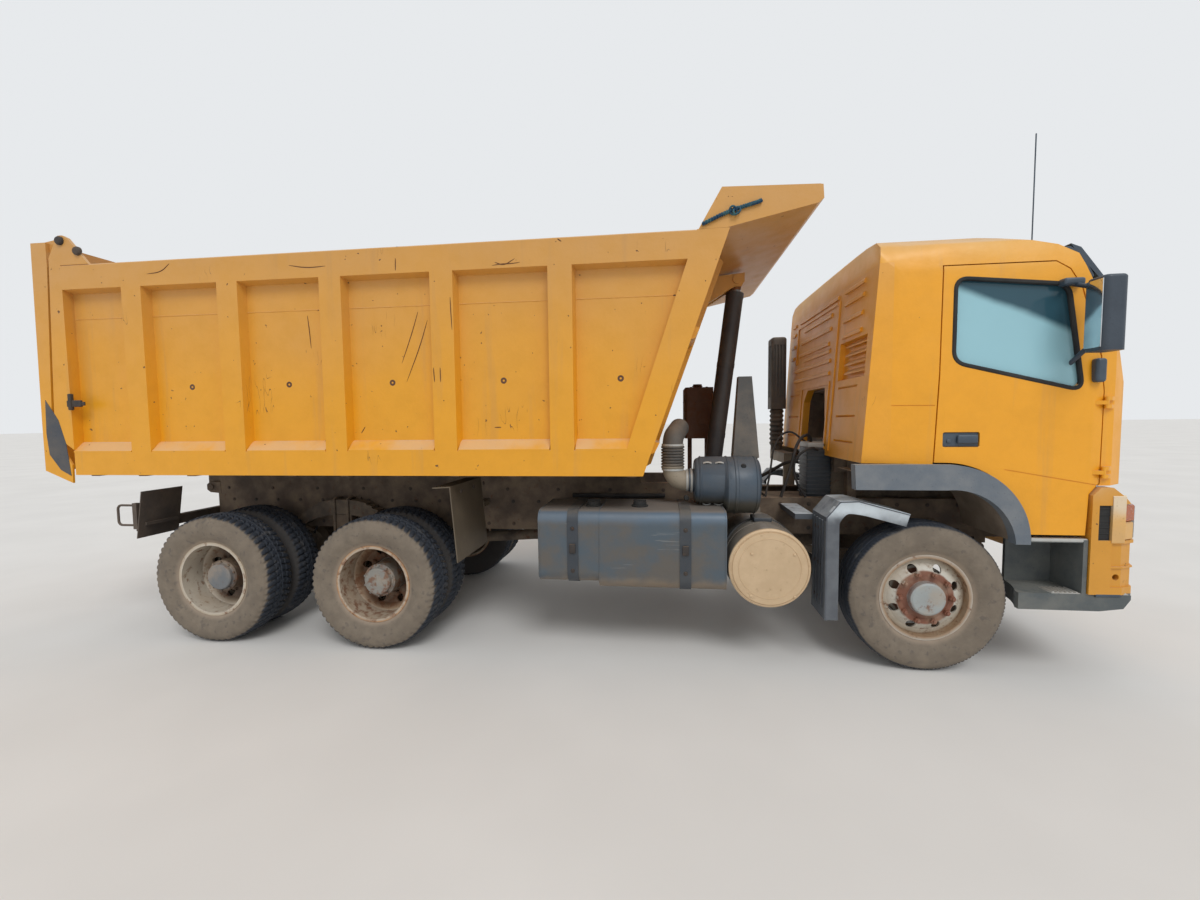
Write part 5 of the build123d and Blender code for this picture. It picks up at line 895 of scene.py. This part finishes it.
# the pale tone above 1.02 m is the same painted sunlit top
guard_edge = weathered("guard_edge", (0.085, 0.095, 0.11), (0.26, 0.28, 0.3), 0.3, 0.0, 0.55,
                       other=("Z", 1.02, 1.12, (0.62, 0.69, 0.74)))
fitting("guard_flanges", both([swept(guard_line, inwards, (0, 1, 0), FLANGE)]), guard_edge)
guard_bolts = [bolt_at((2.0415, y, z), "x") for y in (-0.965, -1.035, -1.105) for z in (0.47, 0.72, 0.97)]
guard_bolts += [bolt_at((-0.5925, y, 1.225), "x") for y in (-0.62, -0.85, -1.1)]
fitting("guard_bolts", both(guard_bolts), old_iron, smooth=False)


# Frame and axles
# Brown-grey channel rails with rows of bolts, U-bolts over the springs, brake chambers, dampers and air lines.

frame_paint = weathered("frame_paint", (0.085, 0.062, 0.048), (0.27, 0.2, 0.135), 0.65, 0.45, 0.8)
dress(("ladder_frame", "subframe", "bed_underframe", "cab_floor"), frame_paint)
axle_iron = weathered("axle_iron", (0.07, 0.056, 0.046), (0.26, 0.2, 0.14), 0.7, 0.6, 0.85)
dress(("front_axle", "leaf_springs", "rear_axles", "knuckle_right", "knuckle_left", "engine_block"), axle_iron)
rail_bolts = [bolt_at((x, -0.43, z)) for x in np.arange(-3.15, 3.75, 0.23) for z in (0.835, 1.035)]
rail_bolts += [bolt_at((x, -0.43, 1.145)) for x in np.arange(-3.2, 1.45, 0.46)]
fitting("rail_bolts", both(rail_bolts), old_iron, smooth=False)

fixed = []
# each row: the U-bolts' x, then the two legs' y, the foot and the top
for pair_x, near, far, low, high in (((-2.03, -1.9), 0.436, 0.554, 0.745, 1.068),
                                     ((2.651, 2.771), 0.336, 0.434, 0.48, 0.652)):
    for x in pair_x:
        path = [(x, -y, z) for y, z in ((near, low), (near, high - 0.03), (near, high), (far, high),
                                        (far, high - 0.03), (far, low))]
        fixed.append(tube_along(smooth_path(path), 0.011, 8))
        fixed += [bolt_at((x, -y, low + 0.01), "z", size=1.5) for y in (near, far)]
CHAMBER = turned(((0, -0.085), (0.055, -0.085), (0.074, -0.062), (0.08, -0.01), (0.088, -0.008), (0.088, 0.008),
                  (0.08, 0.01), (0.074, 0.05), (0.045, 0.072), (0, 0.075)), 28)
for axle in ("second", "first"):
    x = WHEEL_PLACES[axle]
    fixed.append(placed(pointed(CHAMBER, "x"), (x + 0.17, -0.345, 0.64)))
    fixed.append(tube_along([(x + 0.06, -0.345, 0.64), (x + 0.02, -0.4, 0.575)], 0.018, 10))
fixed.append(placed(pointed((CHAMBER[0] * 0.85, CHAMBER[1]), "x"), (2.5, -0.62, 0.64)))
damper_foot, damper_top = np.array(((2.99, -0.5, 0.56), (3.06, -0.505, 0.94)))
steps = np.array((0, 0.04, 0.05, 0.55, 0.56, 0.97, 1.0))[:, None]
fixed.append(tube_along(damper_foot + (damper_top - damper_foot) * steps,
                        (0.016, 0.016, 0.034, 0.034, 0.04, 0.04, 0.018), 16))
fitting("axle_fittings", both(fixed), axle_iron)

hose_rubber = weathered("hose_rubber", (0.016, 0.017, 0.02), (0.1, 0.085, 0.07), 0.5, 0.0, 0.7)
LINES = (
    (0.02, ((0.157, -0.462, 1.1), (0.3, -0.47, 1.104), (0.62, -0.462, 1.098), (0.954, -0.455, 1.104))),
    (0.009, ((-2.4, -0.345, 0.7), (-2.32, -0.38, 0.8), (-2.2, -0.4, 0.93), (-1.2, -0.405, 0.95),
             (0.2, -0.4, 0.94))),
    (0.009, ((-1.03, -0.345, 0.7), (-0.95, -0.38, 0.82), (-0.8, -0.4, 0.9), (0.2, -0.4, 0.91),
             (1.2, -0.4, 0.92))),
    (0.013, ((2.22, -0.2, 1.5), (2.18, -0.3, 1.62), (2.05, -0.42, 1.58), (1.98, -0.44, 1.3), (1.92, -0.41, 1.09))),
    (0.011, ((2.28, -0.28, 1.45), (2.16, -0.4, 1.52), (2.02, -0.38, 1.4), (2.04, -0.4, 1.22), (2.12, -0.41, 1.09))),
    (0.009, ((2.2, -0.14, 1.53), (2.06, -0.05, 1.66), (1.92, -0.12, 1.52), (1.86, -0.28, 1.28), (1.8, -0.38, 1.09))),
    (0.016, ((2.3, 0.1, 1.3), (2.14, 0.16, 1.36), (1.98, 0.26, 1.24), (1.86, 0.36, 1.15), (1.74, 0.38, 1.09))))
lines = [tube_along(smooth_path(path), radius, 8) for radius, path in LINES]
fitting("hoses_and_lines", lines, hose_rubber)


# Tank, muffler and intake
# Slate tank with dusty panels, caps and a painted highlight along its upper edge, tan muffler end with rivets, slate
# air cleaner with clips, folded sleeve.

tank_paint, shader, place, normal = start_material("tank_paint")
panel = place.stretched((1.6, 1.0, 2.0)).noise(2.0, 5, 0.6).ease(0.36, 0.66)
colour = panel.tint((0.072, 0.098, 0.122), (0.11, 0.1, 0.088))
# painted highlight: a lighter blue band along the tank's upper edge
painted_edge_highlight = (place.axis("Z") + (place.noise(5.0, 3) - 0.5) * 0.05).ease(0.985, 1.045)
colour = (painted_edge_highlight * 0.6).tint(colour, (0.105, 0.165, 0.235))
settled = normal.axis("Z").ease(0.75, 0.98)
colour = (settled * 0.85).tint(colour, (0.195, 0.165, 0.135))
splash = (place.axis("Z") + (place.noise(8.0, 4) - 0.5) * 0.1).ease(0.63, 0.56)
colour = (splash * 0.7).tint(colour, (0.25, 0.19, 0.13))
scrape = place.stretched((3.0, 3.0, 60.0)).noise(1.0, 3).ease(0.64, 0.68) * place.noise(3.0, 2).ease(0.5, 0.62)
colour = (scrape * 0.5).tint(colour, (0.24, 0.25, 0.25))
feed(shader, Base_Color=colour, Roughness=settled * 0.25 + splash * 0.2 + 0.42,
     Normal=bump(place.noise(3.0, 3) * 2.5 + place.noise(40.0, 3) * 0.2, 0.004))
dress(("fuel_tank",), tank_paint)
strap_steel = weathered("strap_steel", (0.036, 0.045, 0.057), (0.13, 0.12, 0.105), 0.25, 0.12, 0.5)
dress(("tank_straps", "battery_box"), strap_steel)
TANK_LOW, TANK_TOP = 0.53, 1.1
LID = turned(((0, -0.005), (0.062, -0.005), (0.062, 0.01), (0.05, 0.012), (0.05, 0.03), (0.044, 0.038),
              (0.02, 0.04), (0, 0.04)), 32)
LUG = turned(((0, 0.03), (0.01, 0.03), (0.01, 0.048), (0, 0.048)), 10)
lids = []
for x in (0.411, 0.761):
    lids.append(placed(pointed(joined([LID, LUG]), "z"), (x, -0.98, TANK_TOP)))
    lids.append(rounded_block((x - 0.048, -0.985, 1.136), (x + 0.048, -0.975, 1.15), 0.004))
fitting("tank_lids", lids, seal_rubber)
tank_y, tank_z = rounded_outline(((-1.2, TANK_LOW), (-0.58, TANK_LOW), (-0.58, TANK_TOP), (-1.2, TANK_TOP)), 0.1).T
beads = []
for x, low_edge in ((0.034, 0.568), (0.474, TANK_LOW), (1.368, TANK_LOW)):
    z = np.interp(tank_z, (TANK_LOW, TANK_TOP), (low_edge, TANK_TOP))
    beads.append(tube_along(xyz(x, tank_y, z), 0.004, 6, closed=True))
fitting("tank_seams", beads, tank_paint)
STRAPS_X = (0.281, 1.091)
strap_bolts = [bolt_at((x, -1.206, z)) for x in STRAPS_X for z in (0.66, 0.97)]
strap_bolts += [rounded_block((x - 0.022, -1.222, 0.79), (x + 0.022, -1.204, 0.86), 0.006) for x in STRAPS_X]
fitting("strap_buckles", strap_bolts, old_iron)

muffler_steel, shader, place, _ = start_material("muffler_steel")
cap_face = place.axis("Y").ease(-1.186, -1.196)
cloud = place.noise(6.0, 5, 0.65).ease(0.35, 0.7)
colour = cap_face.tint(cloud.tint((0.27, 0.24, 0.2), (0.17, 0.145, 0.12)),
                       (cloud * 0.5).tint((0.62, 0.46, 0.29), (0.48, 0.34, 0.2)))
bloom = place.noise(22.0, 5, 0.7).ease(0.6, 0.72)
colour = (bloom * 0.3).tint(colour, (0.24, 0.13, 0.07))
feed(shader, Base_Color=colour, Roughness=bloom * 0.25 + 0.5, Metallic=0.15,
     Normal=bump(cloud + bloom * 0.6, 0.0015))
dress(("muffler",), muffler_steel)
TURN = np.linspace(0, 2 * math.pi, 72, endpoint=False)


def ring_about(axis, centre=(0, 0, 0), radius=1.0):
    """72 places round a centre, square to an axis; with the centre and radius left out, the directions outwards."""
    return centre + radius * np.insert(np.stack((np.cos(TURN), np.sin(TURN)), -1), "xyz".index(axis), 0, axis=1)


MUFFLER_X, MUFFLER_Z = 1.665, 0.712
CAP_Y, BAND_Y, BAND_RADIUS = -1.2195, -0.87, 0.2805
RIVET = turned(((0, -0.003), (0.012, -0.003), (0.01, 0.005), (0.005, 0.008), (0, 0.008)), 16)
RIVET_MARKS = ((1.544, 0.815), (1.83, 0.814), (1.539, 0.518), (1.834, 0.521))
rivets = [placed(RIVET, (x, CAP_Y, z), -1) for x, z in RIVET_MARKS]
for radius, y, bead in ((0.262, -1.211, 0.0045), (0.21, CAP_Y, 0.0035)):
    rivets.append(tube_along(ring_about("y", (MUFFLER_X, y, MUFFLER_Z), radius), bead, 6, closed=True))
fitting("muffler_rivets", rivets, muffler_steel)
band = ring_about("y", (MUFFLER_X, BAND_Y, MUFFLER_Z), BAND_RADIUS)
band[:, 1] += 0.07 * np.cos(TURN - 0.6)
strap = [swept(band, ring_about("y"), (0, 1, 0), bevelled(-0.004, 0.005, -0.022, 0.022, 0.003), closed=True),
         rounded_block((1.6, -0.97, 0.985), (1.73, -0.8, 1.02), 0.008)]
fitting("muffler_strap", strap, strap_steel)

duct_plastic = weathered("duct_plastic", (0.05, 0.075, 0.105), (0.1, 0.105, 0.11), 0.35, 0.0, 0.42,
                         other=("Z", 1.2, 1.12, (0.085, 0.078, 0.062)))
dress(("air_cleaner",), duct_plastic)
duct_rubber = weathered("duct_rubber", (0.07, 0.07, 0.068), (0.19, 0.155, 0.12), 0.5, 0.0, 0.7,
                        other=("Z", 1.42, 1.36, (0.34, 0.29, 0.22)))
dress(("air_ducts",), duct_rubber)
CLEANER_Y = -0.85


def cleaner_at(x):
    """Height of the air cleaner's middle and its radius at x: a wider bowl ahead of the tank, flush at the top."""
    bowl = np.interp(x, (1.386, 1.402), (0, 1))
    return 1.2845 - 0.034 * bowl, 0.18 + 0.034 * bowl


SHELL_X = np.array((1.19, 1.19, 1.192, 1.199, 1.21, 1.384, 1.39, 1.398, 1.404, 1.455, 1.461, 1.477, 1.483,
                    1.62, 1.631, 1.638, 1.64, 1.64))
SHELL_FIT = np.array((0, -0.034, -0.022, -0.009, 0, 0, 0, 0, 0, 0, 0.006, 0.006, 0, 0, -0.009, -0.022, -0.034, 0))
profile = np.stack((cleaner_at(SHELL_X)[1] + SHELL_FIT, SHELL_X), -1)
profile[[0, -1], 0] = 0
places, faces = turned(profile, 72)
places = xyz(places[:, 1], CLEANER_Y + places[:, 0], cleaner_at(places[:, 1])[0] + places[:, 2])
fitting("air_cleaner_shell", [(places, faces)], duct_plastic)
rings, clips = [], []
for x, bead in ((1.216, 0.005), (1.41, 0.006), (1.612, 0.005)):
    middle, radius = cleaner_at(x)
    rings.append(tube_along(ring_about("x", (x, CLEANER_Y, middle), radius), bead, 8, closed=True))
fitting("air_cleaner_rings", rings, duct_plastic)
t = np.linspace(-1, 1, 9)
for angle in np.radians((130, 10, -110)):
    out = np.array((0, math.cos(angle), math.sin(angle)))
    for x in (1.262, 1.35):
        middle, radius = cleaner_at(x)
        strip = np.array((x, CLEANER_Y, middle)) + (radius + 0.006 + 0.006 * np.cos(2 * t))[:, None] * out
        strip[:, 0] += 0.03 * t
        clips.append(swept(strip, (0, -out[2], out[1]), out, bevelled(-0.007, 0.007, -0.002, 0.003, 0.001)))
fitting("air_cleaner_clips", clips, pale_metal)
VALVE = turned(((0, -0.01), (0.02, -0.01), (0.02, 0.012), (0.014, 0.022), (0, 0.022)), 20)
knobs = [placed(VALVE, where, -1) for where in ((1.52, -0.988, 1.402), (1.109, -0.938, 1.16))]
fitting("air_cleaner_knob", knobs, seal_rubber)
SLEEVE_X, SLEEVE_RADIUS, HOSE_Z = 1.0107, 0.081, 1.282
sleeve = [tube_along(ring_about("z", (SLEEVE_X, CLEANER_Y, z), SLEEVE_RADIUS), 0.009, 8, closed=True)
          for z in np.arange(1.385, 1.545, 0.022)]
fitting("elbow_folds", sleeve, duct_rubber)
clamps = []
for axis, x, z, radius in (("x", 1.118, HOSE_Z, 0.0815), ("z", SLEEVE_X, 1.368, 0.0815),
                           ("z", SLEEVE_X, 1.556, 0.0815), ("x", 1.151, HOSE_Z, 0.0905)):
    clamps.append(swept(ring_about(axis, (x, CLEANER_Y, z), radius), ring_about(axis), np.eye(3)["xyz".index(axis)],
                        bevelled(-0.003, 0.003, -0.008, 0.008, 0.001), closed=True))
fitting("hose_clamps", clamps, pale_metal)


# Hoist and oil tank
# Dark grey stages with bright rims inside a worn tube, an orange-brown top eye, and the rusty oil tank beside it.

hoist_steel = weathered("hoist_steel", (0.038, 0.035, 0.037), (0.1, 0.085, 0.07), 0.4, 0.15, 0.5)
dress(("hoist_tube",), hoist_steel)
stage_chrome, shader, place, _ = start_material("stage_chrome")
wear = place.stretched((30.0, 30.0, 2.0)).noise(1.0, 4).ease(0.45, 0.7)
feed(shader, Base_Color=wear.tint((0.2, 0.195, 0.19), (0.11, 0.095, 0.08)), Metallic=0.6,
     Roughness=wear * 0.3 + 0.28)
dress(("hoist_stage_1", "hoist_stage_2"), stage_chrome)
eye_paint, shader, place, _ = start_material("hoist_eye_paint")
top_part = place.axis("Z").ease(2.905, 2.915)
rusty = place.noise(18.0, 5, 0.7).ease(0.45, 0.62)
feed(shader, Base_Color=top_part.tint((0.18, 0.175, 0.17), rusty.tint((0.3, 0.115, 0.03), (0.12, 0.052, 0.025))),
     Metallic=0.8 - top_part * 0.75, Roughness=top_part * 0.4 + 0.28, Normal=bump(place.noise(50.0, 3), 0.001))
dress(("hoist_stage_3",), eye_paint)
HOIST_FOOT, HOIST_EYE, COLLAR_RADIUS = np.array((1.3513, 0, 0.95)), np.array((1.6073, 0, 2.991)), 0.0776
ahead = (HOIST_EYE - HOIST_FOOT) / np.linalg.norm(HOIST_EYE - HOIST_FOOT)
out = np.cos(TURN)[:, None] * np.cross(ahead, (0, 1, 0)) + np.sin(TURN)[:, None] * (0, 1, 0)
collars = []
for along, thick in ((1.93, 0.0025), (1.3, 0.002), (0.66, 0.002), (0.12, 0.003)):
    collars.append(swept(HOIST_FOOT + ahead * along + COLLAR_RADIUS * out, out, ahead,
                         bevelled(-0.002, thick, -0.022, 0.022, 0.001), closed=True))
fitting("hoist_collars", collars, hoist_steel, "hoist_tube")
dress(("hydraulic_tank",), rusty_steel)
tank_bits = [tube_along(ring_about("z", (1.296, 0.52, 2.085), 0.047), 0.006, 8, closed=True)]
tank_bits += [bolt_at((x, y, 2.06), "z") for x in (1.22, 1.37) for y in (0.3, 0.74)]
outline = rounded_outline(((1.161, 0.24), (1.431, 0.24), (1.431, 0.8), (1.161, 0.8)), 0.04)
tank_bits += [tube_along(np.insert(outline, 2, z, axis=1), 0.004, 6, closed=True) for z in (1.7, 1.93)]
fitting("oil_tank_bands", tank_bits, rusty_steel)

fins = [rounded_block((2.15, -0.325, 1.055), (2.345, -0.085, 1.5), 0.012)]
fins += [rounded_block((2.144, -0.335, z), (2.348, -0.075, z + 0.012), 0.004, 2)
         for z in np.arange(1.1, 1.49, 0.036)]
fitting("cooler_fins", fins, strap_steel)
cooler_top = rounded_block((2.15, -0.325, 1.496), (2.345, -0.085, 1.545), 0.014)
fitting("cooler_top", [cooler_top], pale_metal)


# Rear lamps
# A dark dirty board with three fluted lenses on each side.

board_steel = weathered("board_steel", (0.062, 0.05, 0.042), (0.16, 0.12, 0.09), 0.6, 0.35, 0.7)
dress(("rear_lamp_board",), board_steel)
for name, lens, y in (("stop_lamps", red_lens, 1.055), ("turn_lamps", orange_lens, 0.985),
                      ("reverse_lamps", clear_lens, 0.915)):
    lamp = rounded_block((-3.356, y, 0.97), (-3.346, y + 0.062, 1.05), 0.004)
    fitting(name, both([lamp]), lens)


# Cab inside
# Two seats with cloth cushions on plain pedestals, a dark moulded dashboard with a hood, and the steering wheel.

inside_plastic = weathered("inside_plastic", (0.05, 0.052, 0.055), (0.16, 0.145, 0.125), 0.4, 0.0, 0.6)
dress(("dashboard", "steering_wheel"), inside_plastic)
hood = [rounded_block((3.455, 0.5, 1.985), (3.64, 0.94, 2.085), 0.035, 4),
        rounded_block((3.44, -0.14, 1.62), (3.52, 0.3, 1.96), 0.025, 4)]
hood += [rounded_block((3.442, y, 1.8), (3.452, y + 0.12, 1.86), 0.004, 2) for y in (-0.95, -0.45)]
fitting("dash_hood", hood, inside_plastic)

seat_cloth, shader, place, _ = start_material("seat_cloth")
worn = place.noise(6.0, 4).ease(0.42, 0.68)
feed(shader, Base_Color=worn.tint((0.055, 0.06, 0.075), (0.145, 0.13, 0.115)), Roughness=0.95, Sheen_Weight=0.25,
     Normal=bump(place.noise(420.0, 1), 0.0008))


def cushion(low, high, puff, dents, round_off=0.32):
    """Stuffed cushion between two corners: a ball raised to a power towards a box, with a middle that swells.

    Each of the ball's coordinates c becomes sign(c) |c|**round_off, then is stretched to the box; the upper and
    lower faces swell by puff (1 - u**2)(1 - v**2), and sewn channels across it, dents of them, draw it in."""
    low, high = np.asarray(low), np.asarray(high)
    turn, rise = np.meshgrid(np.linspace(0, 2 * math.pi, 88, endpoint=False),
                             np.linspace(-math.pi / 2, math.pi / 2, 44), indexing="ij")
    ball = xyz(np.cos(rise) * np.cos(turn), np.cos(rise) * np.sin(turn), np.sin(rise))
    ball = np.sign(ball) * np.abs(ball) ** round_off
    thin = int(np.argmin(high - low))
    u, v = (ball[..., i] for i in range(3) if i != thin)
    swell = puff * (1 - u ** 2) * (1 - v ** 2)
    channel = 0.006 * dents * np.exp(-(np.abs((np.abs(u) * 2.5) % 1 - 0.5) / 0.07) ** 2) * (np.abs(v) < 0.9)
    ball = ball * (high - low) / 2
    ball[..., thin] += np.sign(ball[..., thin]) * (swell - channel)
    places = ball + (low + high) / 2
    return places.reshape(-1, 3), quads(*places.shape[:2], 0, 1).tolist()


BACK_X, BACK_Z, BACK_LEAN = 2.69, 1.8, math.radians(7.5)


def leaned(solid):
    """A seat's back or headrest, tipped backwards about the line along y at the back's foot."""
    c, sn = math.cos(BACK_LEAN), math.sin(BACK_LEAN)
    x, y, z = (solid[0] - (BACK_X, 0, BACK_Z)).T
    return xyz(BACK_X + c * x - sn * z, y, BACK_Z + sn * x + c * z), solid[1]


for side, y in (("right", -0.72), ("left", 0.72)):
    pedestal = [rounded_block((2.7, y - 0.17, 1.487), (2.935, y + 0.17, 1.69), 0.02),
                rounded_block((2.655, y - 0.22, 1.68), (3.08, y + 0.22, 1.708), 0.012)]
    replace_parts(fitting(f"seat_frame_{side}", pedestal, inside_plastic), "seats")
    back = cushion((2.64, y - 0.225, 1.8), (2.745, y + 0.225, 2.33), 0.012, 1)
    headrest = cushion((2.65, y - 0.13, 2.338), (2.735, y + 0.13, 2.47), 0.006, 0, 0.5)
    for part, solid in (("cushion", cushion((2.64, y - 0.235, 1.708), (3.105, y + 0.235, 1.83), 0.012, 1)),
                        ("back", leaned(back)), ("headrest", leaned(headrest))):
        piece = fitting(f"seat_{part}_{side}", [solid], seat_cloth)
        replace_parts(piece, "seats")
